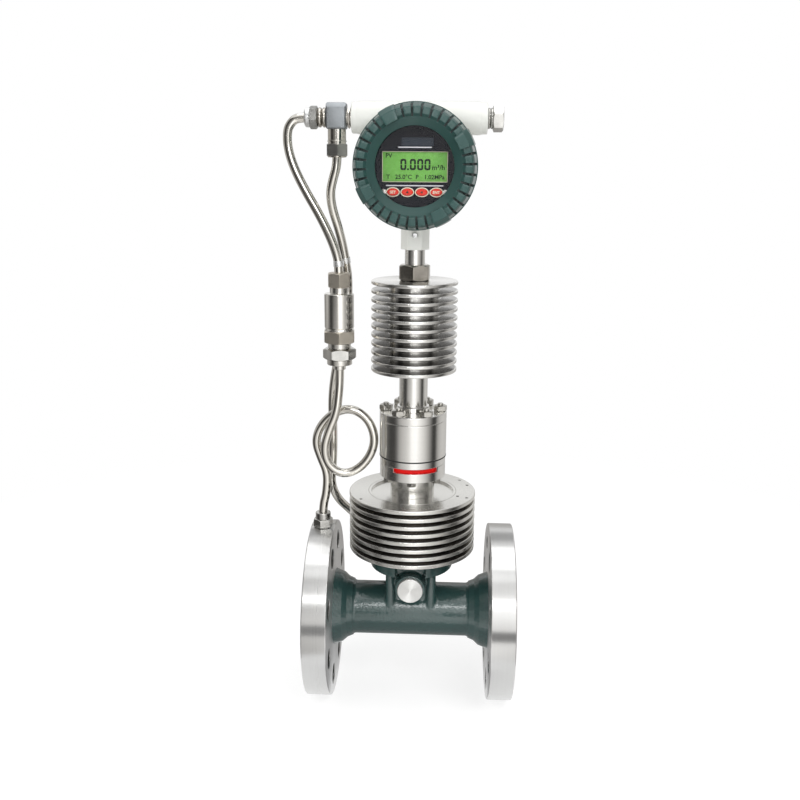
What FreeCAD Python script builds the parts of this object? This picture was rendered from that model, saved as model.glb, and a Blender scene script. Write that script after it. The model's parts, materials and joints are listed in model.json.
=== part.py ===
import FreeCAD, Part
import math
import os
import Sketcher

# Flanged steam flow meter: a cast body between two bolted flanges, a finned neck that keeps the
# heat away from the display head, and a pressure transmitter on a pigtail siphon.
# Frame: millimetres, +X with the flow, +Z up. The origin is the centre of the inlet bolt circle,
# on the outer face of the inlet flange's rim. The viewer of the display stands at -Y.

Vector = FreeCAD.Vector
Rotation = FreeCAD.Rotation

# Driving sizes: name, value in millimetres, degrees or pieces, and what it measures
SIZES = [
    ("face_length", 190, "outer rim face of one flange to that of the other"),
    ("flange_diameter", 165, "outside of both flanges"),
    ("flange_thickness", 22.5, "rim of both flanges"),
    ("flange_chamfer", 1.2, "broken edge of the flange rims"),
    ("raised_face_diameter", 92, "sealing face of both flanges"),
    ("raised_face_height", 2, "sealing face over the rim face"),
    ("bolt_circle", 127, "pitch circle of the flange holes"),
    ("bolt_hole", 19, "flange hole"),
    ("bolt_count", 8, "holes in each flange"),
    ("spigot_diameter", 62, "end of the cast body inside a flange"),
    ("hub_diameter", 72, "cast hub where it meets a flange"),
    ("hub_step_diameter", 65, "cast hub where its cone starts"),
    ("hub_collar", 8, "length of the hub before its cone"),
    ("hub_waist_diameter", 57, "cast hub at the knee of its cone"),
    ("hub_waist", 12.5, "length of the hub up to that knee"),
    ("hub_end_diameter", 52, "cast hub where it steps down to the pipe"),
    ("hub_length", 18, "length of the hub with its cone"),
    ("pipe_diameter", 50, "cast pipe between the hubs"),
    ("bore_diameter", 40, "measuring bore"),
    ("mouth_diameter", 50, "bore at the sealing faces"),
    ("mouth_length", 30, "taper from a mouth to the measuring bore"),
    ("pedestal_height", 65.4, "pipe axis to the top of the round plate"),
    ("pedestal_width", 38, "cast block along the pipe"),
    ("pedestal_depth", 36, "cast block across the pipe"),
    ("column_diameter", 9, "round corner ribs of the block"),
    ("plate_diameter", 77, "round plate on the block"),
    ("plate_thickness", 19, "round plate on the block"),
    ("notch_width", 28, "gap in the plate's rim above the front boss"),
    ("notch_reach", 26, "pipe axis to the floor of that gap"),
    ("boss_diameter", 27.2, "side bosses of the cast body"),
    ("boss_height", 36, "pipe axis up to the axis of the bosses"),
    ("boss_reach", 37, "neck axis to the face of a boss"),
    ("boss_socket", 16, "threaded socket in a boss"),
    ("boss_socket_depth", 12, "threaded socket in a boss"),
    ("probe_boss_angle", 208, "rear boss, turned from the front one about the neck axis"),
    ("probe_hole", 7, "temperature pocket from the rear boss to the bore"),
    ("plug_diameter", 23.4, "turned disc of the front plug"),
    ("plug_head", 3, "turned disc of the front plug"),
    ("bar_face", 11, "bluff bar, side that meets the flow"),
    ("bar_tail", 5, "bluff bar, side that leaves the flow"),
    ("bar_length", 13, "bluff bar along the flow"),
    ("bar_lead", 16, "neck axis back to the middle of the bluff bar"),
    ("probe_stem", 12, "sensing rod in the neck"),
    ("probe_head", 32, "disc that clamps the sensing rod"),
    ("probe_head_height", 5, "disc that clamps the sensing rod"),
    ("probe_wing", 2.6, "thickness of the sensing wing"),
    ("probe_wing_width", 9, "sensing wing along the flow"),
    ("probe_wing_dip", 30, "sensing wing below the crown of the bore"),
    ("probe_tail", 84, "sensing rod above its clamped disc"),
    ("wire_bore", 16, "passage through the neck parts"),
    ("lower_fin_diameter", 116.8, "lower heat sink"),
    ("lower_fin", 3.6, "fin thickness"),
    ("lower_fin_pitch", 7.28, "fin to fin"),
    ("lower_fin_count", 8, "fins, with the top plate"),
    ("lower_core", 76, "core of the lower heat sink"),
    ("recess_diameter", 76, "shallow recess in the top plate"),
    ("recess_depth", 2, "shallow recess in the top plate"),
    ("neck_diameter", 38.6, "neck over the lower heat sink"),
    ("neck_height", 18, "recess floor to the clamp ring"),
    ("clamp_diameter", 60, "clamp ring under the chamber"),
    ("clamp_thickness", 8.5, "clamp ring under the chamber"),
    ("clamp_lip_wall", 2.4, "side lips of the clamp ring"),
    ("clamp_lip_angle", 98, "reach of each side lip round the ring, degrees"),
    ("clamp_lip_turn", 8, "side lips turned about the neck, degrees"),
    ("gasket_diameter", 54.6, "red heat-break gasket"),
    ("gasket_thickness", 4.2, "red heat-break gasket"),
    ("gasket_bore", 24, "inside of the gasket and the ring over it"),
    ("ring_thickness", 6.4, "ring over the gasket"),
    ("seal_thickness", 0.6, "black seal under the chamber"),
    ("seal_diameter", 59.4, "black seal under the chamber"),
    ("seal_bore", 36, "black seal under the chamber"),
    ("chamber_diameter", 61, "amplifier chamber"),
    ("chamber_height", 33.7, "amplifier chamber"),
    ("chamber_bore", 28, "amplifier chamber"),
    ("cap_height", 7.5, "cap of the chamber"),
    ("cap_chamfer", 0.8, "broken edge of the cap"),
    ("stud_diameter", 5.8, "studs through the cap"),
    ("stud_circle", 49.4, "pitch circle of the studs"),
    ("stud_count", 6, "studs"),
    ("stud_depth", 14, "stud below the top of the chamber"),
    ("stud_end", 4.5, "stud above its nut"),
    ("nut_flats", 10, "stud nuts across flats"),
    ("nut_height", 5, "stud nuts"),
    ("ring_bolt_flats", 8, "bolts under the clamp ring across flats"),
    ("ring_bolt_head", 4, "heads of those bolts"),
    ("ring_bolt_circle", 50, "pitch circle of those bolts"),
    ("ring_bolt_count", 6, "those bolts"),
    ("stem_diameter", 25.6, "stem between chamber and upper heat sink"),
    ("stem_collar_diameter", 29, "foot of the stem"),
    ("stem_collar", 5, "foot of the stem"),
    ("stem_height", 37.5, "cap to the upper heat sink"),
    ("stem_bore", 12, "passage in the stem"),
    ("upper_fin_diameter", 76.8, "upper heat sink"),
    ("upper_fin", 3.2, "fin thickness"),
    ("upper_fin_pitch", 7.75, "fin to fin"),
    ("upper_fin_count", 11, "fins"),
    ("upper_core", 46, "core of the upper heat sink"),
    ("neck_nut_flats", 26, "hex nut on the upper heat sink"),
    ("neck_nut_height", 13.8, "hex nut on the upper heat sink"),
    ("neck_tube_diameter", 18, "tube between the nut and the head"),
    ("neck_tube_bore", 10, "tube between the nut and the head"),
    ("neck_tube_gap", 13, "tube in view between the nut and the head"),
    ("neck_tube_grip", 12, "tube inside the heat sink and inside the head"),
    ("head_rise", 70, "foot of the head's neck to the head's axis"),
    ("head_neck_flats", 22, "hex neck of the head"),
    ("can_diameter", 92, "round housing between the covers"),
    ("can_front", 23, "neck axis to the front shoulder"),
    ("can_rear", 34, "neck axis to the rear shoulder"),
    ("spigot_length", 11, "threaded ends that carry the covers"),
    ("spigot_thread", 86, "threaded ends that carry the covers"),
    ("can_bore", 76, "inside of both compartments"),
    ("divider_front", 14, "neck axis to the front of the dividing wall"),
    ("divider_wall", 6, "dividing wall"),
    ("arm_diameter", 27.4, "cross arm with the cable entries"),
    ("arm_end_diameter", 26, "ends of the cross arm"),
    ("arm_end_length", 6, "ends of the cross arm"),
    ("arm_left", 55, "neck axis to the left end of the arm"),
    ("arm_right", 60, "neck axis to the right end of the arm"),
    ("arm_rise", 40, "head's axis to the arm's axis"),
    ("entry_diameter", 14, "cable entries"),
    ("set_screw_diameter", 4, "set screw in the head's neck"),
    ("set_screw_height", 13, "foot of the neck to the set screw"),
    ("cover_height", 26.7, "cover along its axis"),
    ("cover_rim_diameter", 104.4, "open rim of a cover"),
    ("cover_rim", 3, "open rim of a cover"),
    ("cover_skirt_diameter", 103.2, "skirt where it meets the rim"),
    ("cover_shoulder_diameter", 97.4, "skirt where it turns to the front"),
    ("cover_shoulder", 3.4, "height of the turn to the front"),
    ("cover_band_diameter", 94, "outside of the front band"),
    ("cover_band_bore", 83, "inside of the front band"),
    ("window_diameter", 68, "window opening"),
    ("window_depth", 6.5, "window opening behind the front band"),
    ("window_lip", 2, "lip in front of the glass"),
    ("glass_diameter", 77, "window glass"),
    ("glass_thickness", 5, "window glass"),
    ("glass_ring_height", 2, "ring that holds the glass"),
    ("glass_ring_bore", 70, "ring that holds the glass"),
    ("groove_count", 36, "grip grooves round a cover"),
    ("groove_angle", 2.1, "width of a grip groove, degrees"),
    ("groove_depth", 2.2, "grip grooves"),
    ("lug_count", 4, "wrench lugs on a cover"),
    ("lug_angle", 16, "width of a lug, degrees"),
    ("lug_bore", 77, "inner end of the lugs"),
    ("lug_height", 2.4, "lugs over the front band"),
    ("lug_diameter", 106, "lugs where they meet the rim"),
    ("lug_turn", 28, "first lug over the horizontal, degrees"),
    ("cover_seal", 1.8, "square seal ring in a cover"),
    ("cover_seal_pocket", 2, "its pocket"),
    ("cover_seal_diameter", 92, "its pocket"),
    ("panel_diameter", 75, "display panel"),
    ("panel_thickness", 2, "display panel"),
    ("panel_front", 32, "neck axis to the face of the panel"),
    ("lcd_width", 54, "window of the liquid crystal"),
    ("lcd_height", 24.6, "window of the liquid crystal"),
    ("lcd_margin", 1.5, "module beyond its window"),
    ("lcd_thickness", 4, "liquid crystal module"),
    ("key_width", 9.6, "oval keys"),
    ("key_height", 6, "oval keys"),
    ("key_thickness", 2.4, "oval keys"),
    ("key_proud", 1, "keys over the panel"),
    ("key_pitch", 12, "key to key"),
    ("key_drop", 20.4, "head's axis down to the keys"),
    ("mat_thickness", 1.4, "rubber mat behind the keys"),
    ("mat_margin", 0.6, "mat beyond the keys"),
    ("screw_spread", 51.2, "panel screw to panel screw"),
    ("screw_diameter", 2.6, "panel screws"),
    ("screw_head", 4.8, "panel screw heads"),
    ("screw_head_height", 1.2, "panel screw heads"),
    ("spacer_diameter", 4.2, "spacers under the panel"),
    ("board_diameter", 70, "circuit board"),
    ("board_thickness", 1.6, "circuit board"),
    ("board_front", 24, "neck axis to the face of the board"),
    ("terminal_width", 46, "terminal block"),
    ("terminal_height", 17, "terminal block"),
    ("terminal_depth", 14, "terminal block"),
    ("terminal_count", 6, "terminal screws"),
    ("terminal_pitch", 7.4, "terminal screw to terminal screw"),
    ("terminal_screw", 5, "terminal screw heads"),
    ("terminal_screw_height", 2.5, "terminal screw heads"),
    ("entry_plug_flats", 20, "blanking plug"),
    ("entry_plug_head", 9, "hex of the blanking plug"),
    ("entry_neck", 4.3, "thread in view at a cable entry"),
    ("entry_seal", 1.5, "seal ring at a cable entry"),
    ("entry_seal_diameter", 18.5, "seal ring at a cable entry"),
    ("entry_grip", 12, "thread inside a cable entry"),
    ("tee_width", 17, "tee along the arm"),
    ("tee_depth", 18, "tee across the arm"),
    ("tee_height", 21.8, "tee upright"),
    ("tee_foot", 9.5, "arm's axis down to the foot of the tee"),
    ("tee_chamfer", 2, "broken edges of the tee"),
    ("tee_crown", 4, "broken edges round the top of the tee"),
    ("tee_branch", 16, "round branches of the tee"),
    ("tee_drop", 12, "lower branch under the tee"),
    ("tee_reach", 7.6, "side branch beside the tee"),
    ("gland_flats", 17.5, "gland nuts"),
    ("gland_height", 7.6, "gland nuts"),
    ("gland_nose", 3.8, "rounded nose of a gland nut"),
    ("tube_grip", 6, "end of a conduit or siphon inside its fitting"),
    ("tube_diameter", 8, "conduits and siphon"),
    ("tube_wall", 1.2, "conduits and siphon"),
    ("transmitter_side", 67, "neck axis to the transmitter's axis"),
    ("transmitter_foot", 258.2, "pipe axis to the foot of the transmitter's hex"),
    ("transmitter_flats", 25, "hex of the transmitter and union nut"),
    ("transmitter_hex", 11.6, "hex of the transmitter"),
    ("transmitter_diameter", 26.3, "body of the transmitter"),
    ("transmitter_height", 32.8, "body of the transmitter"),
    ("transmitter_chamfer", 0.8, "broken edge of the transmitter"),
    ("transmitter_neck", 16.5, "neck of the transmitter"),
    ("transmitter_neck_height", 5.2, "neck of the transmitter"),
    ("top_gland_flats", 18, "gland on the transmitter"),
    ("top_gland_height", 13, "gland on the transmitter"),
    ("union_neck", 20.6, "pressure port over the union nut"),
    ("union_neck_height", 4.8, "pressure port over the union nut"),
    ("union_height", 10.2, "union nut"),
    ("tail_diameter", 22.6, "collar of the siphon's tail piece"),
    ("tail_height", 5, "collar of the siphon's tail piece"),
    ("tail_sleeve", 11, "sleeve over the end of the siphon"),
    ("tail_sleeve_height", 4.6, "sleeve over the end of the siphon"),
    ("tap_flats", 16, "hex of the siphon's flange fitting"),
    ("tap_hex", 8.4, "hex of the siphon's flange fitting"),
    ("tap_collar", 14.2, "collar of the siphon's flange fitting"),
    ("tap_collar_height", 6, "collar of the siphon's flange fitting"),
    ("tap_thread", 10, "thread of the siphon's flange fitting"),
    ("tap_thread_depth", 11, "thread of the siphon's flange fitting"),
    ("tap_hole", 5, "pressure hole from the flange rim to the bore"),
    ("spot_diameter", 20.8, "flat on the flange rim under the fitting"),
    ("spot_depth", 0.8, "flat on the flange rim under the fitting"),
    ("well_flats", 19, "hex of the temperature pocket"),
    ("well_hex", 9, "hex of the temperature pocket"),
    ("well_tip", 6, "tip of the temperature pocket"),
    ("well_reach", 12, "neck axis to the tip of the temperature pocket"),
    ("well_nut", 8, "nut on the temperature pocket"),
    ("fit", 0.1, "clearance of pieces that are screwed or pressed together"),
    ("play", 0.35, "clearance of pieces that move"),
]

# Shares that give a form and no size of its own
CORNER_EASE = 0.6        # slope of a turned-off hex corner, height over width
NOSE_INSET = 1 / 3       # knee of a gland nose, inwards
NOSE_RISE = 0.7          # knee of a gland nose, upwards
ARC_SHARE = 0.45         # part of the shorter run that a tube's bend takes up
VOLUME_TOLERANCE = 0.002  # largest difference of a tube from its section times its length
SAME_PLACE = 0.001       # distance under which two places are the same

doc = FreeCAD.newDocument("FlowMeter")
sheet = doc.addObject("Spreadsheet::Sheet", "Sizes")
for row, (alias, value, meaning) in enumerate(SIZES, start=1):
    sheet.set(f"A{row}", meaning)
    sheet.set(f"B{row}", str(value))
    sheet.setAlias(f"B{row}", alias)
doc.recompute()


class Length:
    """A sum of sheet cells that reads like arithmetic and can be bound to a property."""

    def __init__(self, text):
        self.text = str(text)

    def __add__(self, other):
        return Length(f"({self.text} + {Length.words(other)})")

    def __sub__(self, other):
        return Length(f"({self.text} - {Length.words(other)})")

    def __rsub__(self, other):
        return Length(f"({Length.words(other)} - {self.text})")

    def __mul__(self, other):
        return Length(f"({self.text} * {Length.words(other)})")

    def __truediv__(self, other):
        return Length(f"({self.text} / {Length.words(other)})")

    def __neg__(self):
        return Length(f"(0 - {self.text})")

    def __float__(self):
        return float(sheet.evalExpression(self.text))

    __radd__ = __add__
    __rmul__ = __mul__

    @staticmethod
    def words(other):
        return other.text if isinstance(other, Length) else repr(other)


class Cells:
    """size.name stands for the cell of that name."""

    def __getattr__(self, name):
        return Length(f"Sizes.{name}")


size = Cells()
nodes = {}

# Directions that a piece's own +Z axis can take
UP = Rotation()
DOWN = Rotation(Vector(1, 0, 0), 180)
FRONT = Rotation(Vector(1, 0, 0), 90)
BACK = Rotation(Vector(1, 0, 0), -90)
RIGHT = Rotation(Vector(0, 1, 0), 90)
LEFT = Rotation(Vector(0, 1, 0), -90)
WELL = Rotation(Vector(0, 0, 1), float(size.probe_boss_angle)).multiply(FRONT)


def bind(thing, prop, length):
    """Tie a property to the sheet, or set it where the length is a plain number."""
    if isinstance(length, Length):
        thing.setExpression(prop, length.text)
    else:
        setattr(thing, prop, length)


def seat(thing, x=0, y=0, z=0, turn=UP):
    """Put a piece at a place that follows the sheet, with its own +Z along turn."""
    thing.Placement = FreeCAD.Placement(Vector(0, 0, 0), turn)
    for axis, length in (("x", x), ("y", y), ("z", z)):
        if isinstance(length, Length):
            thing.setExpression(f"Placement.Base.{axis}", length.text)


def keep(name, thing):
    """Make a finished object one of the part's nodes."""
    thing.Label = name
    nodes[name] = thing
    return thing


def new_body(name):
    return doc.addObject("PartDesign::Body", name + "_body")


def new_sketch(body, plane, name, lift=None, side=None, turn=0):
    """A sketch on one of the body's origin planes, lifted along the plane's normal."""
    sketch = body.newObject("Sketcher::SketchObject", name)
    support = next(f for f in body.Origin.OriginFeatures if f.Role == plane)
    sketch.AttachmentSupport = [(support, "")]
    sketch.MapMode = "FlatFace"
    sketch.AttachmentOffset = FreeCAD.Placement(Vector(0, 0, 0), Rotation(Vector(0, 1, 0), turn))
    if isinstance(lift, Length):
        sketch.setExpression("AttachmentOffset.Base.z", lift.text)
    if isinstance(side, Length):
        sketch.setExpression("AttachmentOffset.Base.x", side.text)
    return sketch


def hold(sketch, geometry, point, x, y):
    """Fix one point of a sketch by its two distances from the sketch's origin."""
    for kind, length, axis in (("DistanceX", x, -2), ("DistanceY", y, -1)):
        if not isinstance(length, Length):
            sketch.addConstraint(Sketcher.Constraint("PointOnObject", geometry, point, axis))
            continue
        limit = Sketcher.Constraint(kind, -1, 1, geometry, point, float(length))
        index = sketch.addConstraint(limit)
        sketch.setExpression(f"Constraints[{index}]", length.text)


def polygon(sketch, corners):
    """A closed outline whose every corner follows the sheet. A plain 0 lies on an axis."""
    spots = [Vector(float(x), float(y), 0) for x, y in corners]
    for index, spot in enumerate(spots):
        after = spots[(index + 1) % len(spots)]
        sketch.addGeometry(Part.LineSegment(spot, after), False)
    for index in range(len(spots)):
        after = (index + 1) % len(spots)
        sketch.addConstraint(Sketcher.Constraint("Coincident", index, 2, after, 1))
    for index, (x, y) in enumerate(corners):
        hold(sketch, index, 1, x, y)
    return sketch


def circles(sketch, centres, diameter):
    """Circles of one diameter at the given centres."""
    normal = Vector(0, 0, 1)
    for x, y in centres:
        centre = Vector(float(x), float(y), 0)
        index = sketch.addGeometry(Part.Circle(centre, normal, float(diameter) / 2), False)
        hold(sketch, index, 3, x, y)
        limit = sketch.addConstraint(Sketcher.Constraint("Diameter", index, float(diameter)))
        bind(sketch, f"Constraints[{limit}]", diameter)
    return sketch


def rectangle(sketch, left, right, low, high):
    return polygon(sketch, [(left, low), (right, low), (right, high), (left, high)])


def revolve(body, sketch, kind="Revolution", axis="V_Axis", angle=360.0, both=False):
    """Turn a sketch about one of its axes, adding (Revolution) or cutting (Groove)."""
    feature = body.newObject("PartDesign::" + kind, f"{sketch.Name}_{kind}")
    feature.Profile = sketch
    feature.ReferenceAxis = (sketch, [axis])
    bind(feature, "Angle", angle)
    feature.Midplane = both
    body.Tip = feature
    return feature


def pad(body, sketch, length, back=False):
    feature = body.newObject("PartDesign::Pad", sketch.Name + "_Pad")
    feature.Profile = sketch
    bind(feature, "Length", length)
    feature.Reversed = back
    body.Tip = feature
    return feature


def pocket(body, sketch, length=None, back=False):
    """Cut a sketch out of the body, through everything where no length is given.

    A cut goes against the sketch's normal, and with back along it.
    """
    doc.recompute()
    before = body.Shape.Volume
    feature = body.newObject("PartDesign::Pocket", sketch.Name + "_Pocket")
    feature.Profile = sketch
    feature.Reversed = back
    if length is None:
        feature.Type = "ThroughAll"
    else:
        bind(feature, "Length", length)
    body.Tip = feature
    doc.recompute()
    if not body.Shape.Volume < before - 1e-3:
        raise RuntimeError(f"{feature.Name} cuts nothing")
    return feature


def ring_pattern(body, features, sketch, axis, count):
    """Repeat features evenly round an axis of a sketch."""
    pattern = body.newObject("PartDesign::PolarPattern", features[0].Name + "_ring")
    pattern.Originals = features
    pattern.Axis = (sketch, [axis])
    pattern.Angle = 360.0
    bind(pattern, "Occurrences", count)
    body.Tip = pattern
    return pattern


def turned(name, profile, x=0, y=0, z=0, turn=UP):
    """A lathe piece from its half section of (radius, height) corners."""
    body = new_body(name)
    revolve(body, polygon(new_sketch(body, "XZ_Plane", name + "_section"), profile))
    seat(body, x, y, z, turn)
    return body


def rod(name, diameter, low, high, x=0, y=0, z=0, turn=UP):
    """A plain round bar along its own axis, from low to high."""
    radius = diameter / 2
    return turned(name, [(0, low), (radius, low), (radius, high), (0, high)], x, y, z, turn)


def hole_ring(body, name, circle, diameter, count):
    """Holes right through a lathe piece, on a pitch circle about its own axis."""
    sketch = new_sketch(body, "XY_Plane", name)
    circles(sketch, [(circle / 2, 0)], diameter)
    ring_pattern(body, [pocket(body, sketch, back=True)], sketch, "N_Axis", count)
    return body


def tube_section(inner, outer, low, high):
    """Half section of a plain ring."""
    return [(inner / 2, low), (outer / 2, low), (outer / 2, high), (inner / 2, high)]


def hexed(name, profile, flats, x=0, y=0, z=0, turn=UP):
    """A lathe piece whose outside is milled to a hexagon."""
    blank = turned(name + "_blank", profile, x, y, z, turn)
    prism = doc.addObject("Part::Prism", name + "_hexagon")
    prism.Polygon = 6
    bind(prism, "Circumradius", Length(f"({flats.text} / sqrt(3))"))
    bind(prism, "Height", max((high for _, high in profile), key=float))
    seat(prism, x, y, z, turn)
    common = doc.addObject("Part::Common", name + "_milled")
    common.Base = blank
    common.Tool = prism
    return common


def hex_profile(flats, bore, low, high):
    """Half section of a hex nut blank, with its corners turned off at both ends."""
    corner = Length(f"({flats.text} / sqrt(3))")
    slope = (corner - flats / 2) * CORNER_EASE
    return [(bore / 2, low), (flats / 2, low), (corner, low + slope),
            (corner, high - slope), (flats / 2, high), (bore / 2, high)]


def fuse(name, *things):
    joined = doc.addObject("Part::MultiFuse", name + "_joined")
    joined.Shapes = list(things)
    return joined


def cut(name, base, *tools):
    result = doc.addObject("Part::Cut", name + "_cut")
    result.Base = base
    result.Tool = tools[0] if len(tools) == 1 else fuse(name + "_tools", *tools)
    return result


def block(name, width, depth, height, x, y, z):
    """A box centred on x and y, standing on z."""
    box = doc.addObject("Part::Box", name + "_box")
    bind(box, "Length", width)
    bind(box, "Width", depth)
    bind(box, "Height", height)
    seat(box, x - width / 2, y - depth / 2, z)
    return box


def copies(name, pattern, places):
    """One node of equal loose pieces, each a copy of the pattern moved to a place."""
    doc.recompute()
    group = doc.addObject("Part::Feature", name)
    solids = []
    for place in places:
        solid = pattern.Shape.copy()
        solid.translate(place)
        solids.append(solid)
    group.Shape = Part.Compound(solids)
    return keep(name, group)


def on_circle(circle, count, start=0.0):
    """Places on a pitch circle round the neck axis."""
    radius = float(circle) / 2
    turns = [math.radians(start + 360.0 * index / count) for index in range(count)]
    return [Vector(radius * math.cos(t), radius * math.sin(t), 0) for t in turns]


# Heights up the neck, each from the piece below it
neck_x = size.face_length / 2
sink_top = size.pedestal_height + size.lower_fin_pitch * (size.lower_fin_count - 1) + size.lower_fin
recess_floor = sink_top - size.recess_depth
clamp_foot = recess_floor + size.neck_height
gasket_foot = clamp_foot + size.clamp_thickness
ring_foot = gasket_foot + size.gasket_thickness
seal_foot = ring_foot + size.ring_thickness
chamber_foot = seal_foot + size.seal_thickness
cap_foot = chamber_foot + size.chamber_height
stem_foot = cap_foot + size.cap_height
upper_foot = stem_foot + size.stem_height
upper_height = size.upper_fin_pitch * (size.upper_fin_count - 1) + size.upper_fin
upper_top = upper_foot + upper_height
head_foot = upper_top + size.neck_nut_height + size.neck_tube_gap
head_z = head_foot + size.head_rise
arm_z = head_z + size.arm_rise


# Cast body
def make_meter_body():
    """Pipe, hubs, pedestal, round plate and two side bosses of one casting.

    Its own frame starts at the inlet sealing face.
    """
    face = size.raised_face_height
    length = size.face_length + face * 2
    middle = length / 2
    near = face + size.flange_thickness
    far = length - near
    body = new_body("meter_body")
    spigot = size.spigot_diameter / 2
    outline = [
        (0, 0), (0, spigot), (near, spigot), (near, size.hub_diameter / 2),
        (near + size.hub_collar, size.hub_step_diameter / 2),
        (near + size.hub_waist, size.hub_waist_diameter / 2),
        (near + size.hub_length, size.hub_end_diameter / 2),
        (near + size.hub_length, size.pipe_diameter / 2),
        (far - size.hub_length, size.pipe_diameter / 2),
        (far - size.hub_length, size.hub_end_diameter / 2),
        (far - size.hub_waist, size.hub_waist_diameter / 2),
        (far - size.hub_collar, size.hub_step_diameter / 2),
        (far, size.hub_diameter / 2), (far, spigot), (length, spigot), (length, 0)]
    section = polygon(new_sketch(body, "XZ_Plane", "pipe_section"), outline)
    revolve(body, section, axis="H_Axis")

    half_width = size.pedestal_width / 2
    half_depth = size.pedestal_depth / 2
    foot = new_sketch(body, "XY_Plane", "pedestal_block")
    rectangle(foot, middle - half_width, middle + half_width, -half_depth, half_depth)
    pad(body, foot, size.pedestal_height)
    corners = [(middle + half_width * i, half_depth * j) for i in (-1, 1) for j in (-1, 1)]
    columns = new_sketch(body, "XY_Plane", "pedestal_columns")
    circles(columns, corners, size.column_diameter)
    pad(body, columns, size.pedestal_height)
    plate_foot = size.pedestal_height - size.plate_thickness
    plate = new_sketch(body, "XY_Plane", "round_plate", lift=plate_foot)
    pad(body, circles(plate, [(middle, 0)], size.plate_diameter), size.plate_thickness)
    notch = new_sketch(body, "XY_Plane", "plate_notch", lift=plate_foot)
    half_notch = size.notch_width / 2
    rectangle(notch, middle - half_notch, middle + half_notch, -size.plate_diameter, -size.notch_reach)
    pocket(body, notch, back=True)

    for name, angle in (("front_boss", 0), ("rear_boss", float(size.probe_boss_angle))):
        boss = new_sketch(body, "XZ_Plane", name, side=middle, turn=angle)
        pad(body, circles(boss, [(0, size.boss_height)], size.boss_diameter), size.boss_reach)

    mouth = size.mouth_diameter / 2
    bore = size.bore_diameter / 2
    flow = new_sketch(body, "XZ_Plane", "flow_bore")
    polygon(flow, [(0, 0), (0, mouth), (size.mouth_length, bore),
                   (length - size.mouth_length, bore), (length, mouth), (length, 0)])
    revolve(body, flow, "Groove", "H_Axis")
    rod_bore = new_sketch(body, "XY_Plane", "rod_bore")
    circles(rod_bore, [(middle, 0)], size.probe_stem + size.fit * 2)
    pocket(body, rod_bore, back=True)
    head = new_sketch(body, "XY_Plane", "rod_seat", lift=size.pedestal_height - size.probe_head_height)
    circles(head, [(middle, 0)], size.probe_head + size.fit * 2)
    pocket(body, head, back=True)
    seat(body, x=-face)
    keep("meter_body", body)


def make_flange(name, place, turn, tapped):
    """A turned flange on the end of the casting, with its own +Z from sealing face to pipe."""
    face = size.raised_face_height
    high = face + size.flange_thickness
    rim = size.flange_diameter / 2
    edge = size.flange_chamfer
    hole = size.spigot_diameter / 2 + size.fit
    profile = [(hole, 0), (size.raised_face_diameter / 2, 0), (size.raised_face_diameter / 2, face),
               (rim - edge, face), (rim, face + edge), (rim, high - edge), (rim - edge, high), (hole, high)]
    flange = turned(name, profile, x=place, turn=turn)
    bolts = new_sketch(flange, "XY_Plane", name + "_bolts")
    reach = size.bolt_circle / 2
    first = Length(f"({reach.text} * cos(180 / Sizes.bolt_count))")
    beside = Length(f"({reach.text} * sin(180 / Sizes.bolt_count))")
    circles(bolts, [(first, beside)], size.bolt_hole)
    ring_pattern(flange, [pocket(flange, bolts, back=True)], bolts, "N_Axis", size.bolt_count)
    if tapped:
        middle = face + size.flange_thickness / 2
        tap = new_sketch(flange, "YZ_Plane", name + "_tap")
        pocket(flange, circles(tap, [(0, middle)], size.tap_hole))
        thread_end = rim - size.spot_depth - size.tap_thread_depth
        thread = new_sketch(flange, "YZ_Plane", name + "_thread", lift=-thread_end)
        pocket(flange, circles(thread, [(0, middle)], size.tap_thread))
        spot = new_sketch(flange, "YZ_Plane", name + "_spot", lift=size.spot_depth - rim)
        pocket(flange, circles(spot, [(0, middle)], size.spot_diameter))
    keep(name, flange)


def drill_meter_body():
    """Pressure hole through the inlet spigot, and a stepped hole in each boss."""
    pressure_hole = rod("spigot_hole", size.tap_hole, 0, size.spigot_diameter, size.flange_thickness / 2)
    socket_floor = size.boss_reach - size.boss_socket_depth
    past_face = size.boss_reach * 2
    sockets = [rod(name, size.boss_socket, socket_floor, past_face, neck_x, 0, size.boss_height, turn)
               for name, turn in (("plug_socket", FRONT), ("well_socket", WELL))]
    well_hole = rod("well_hole", size.probe_hole, 0, past_face, neck_x, 0, size.boss_height, WELL)
    keep("meter_body", cut("meter_body", nodes["meter_body"], pressure_hole, well_hole, *sockets))


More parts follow.
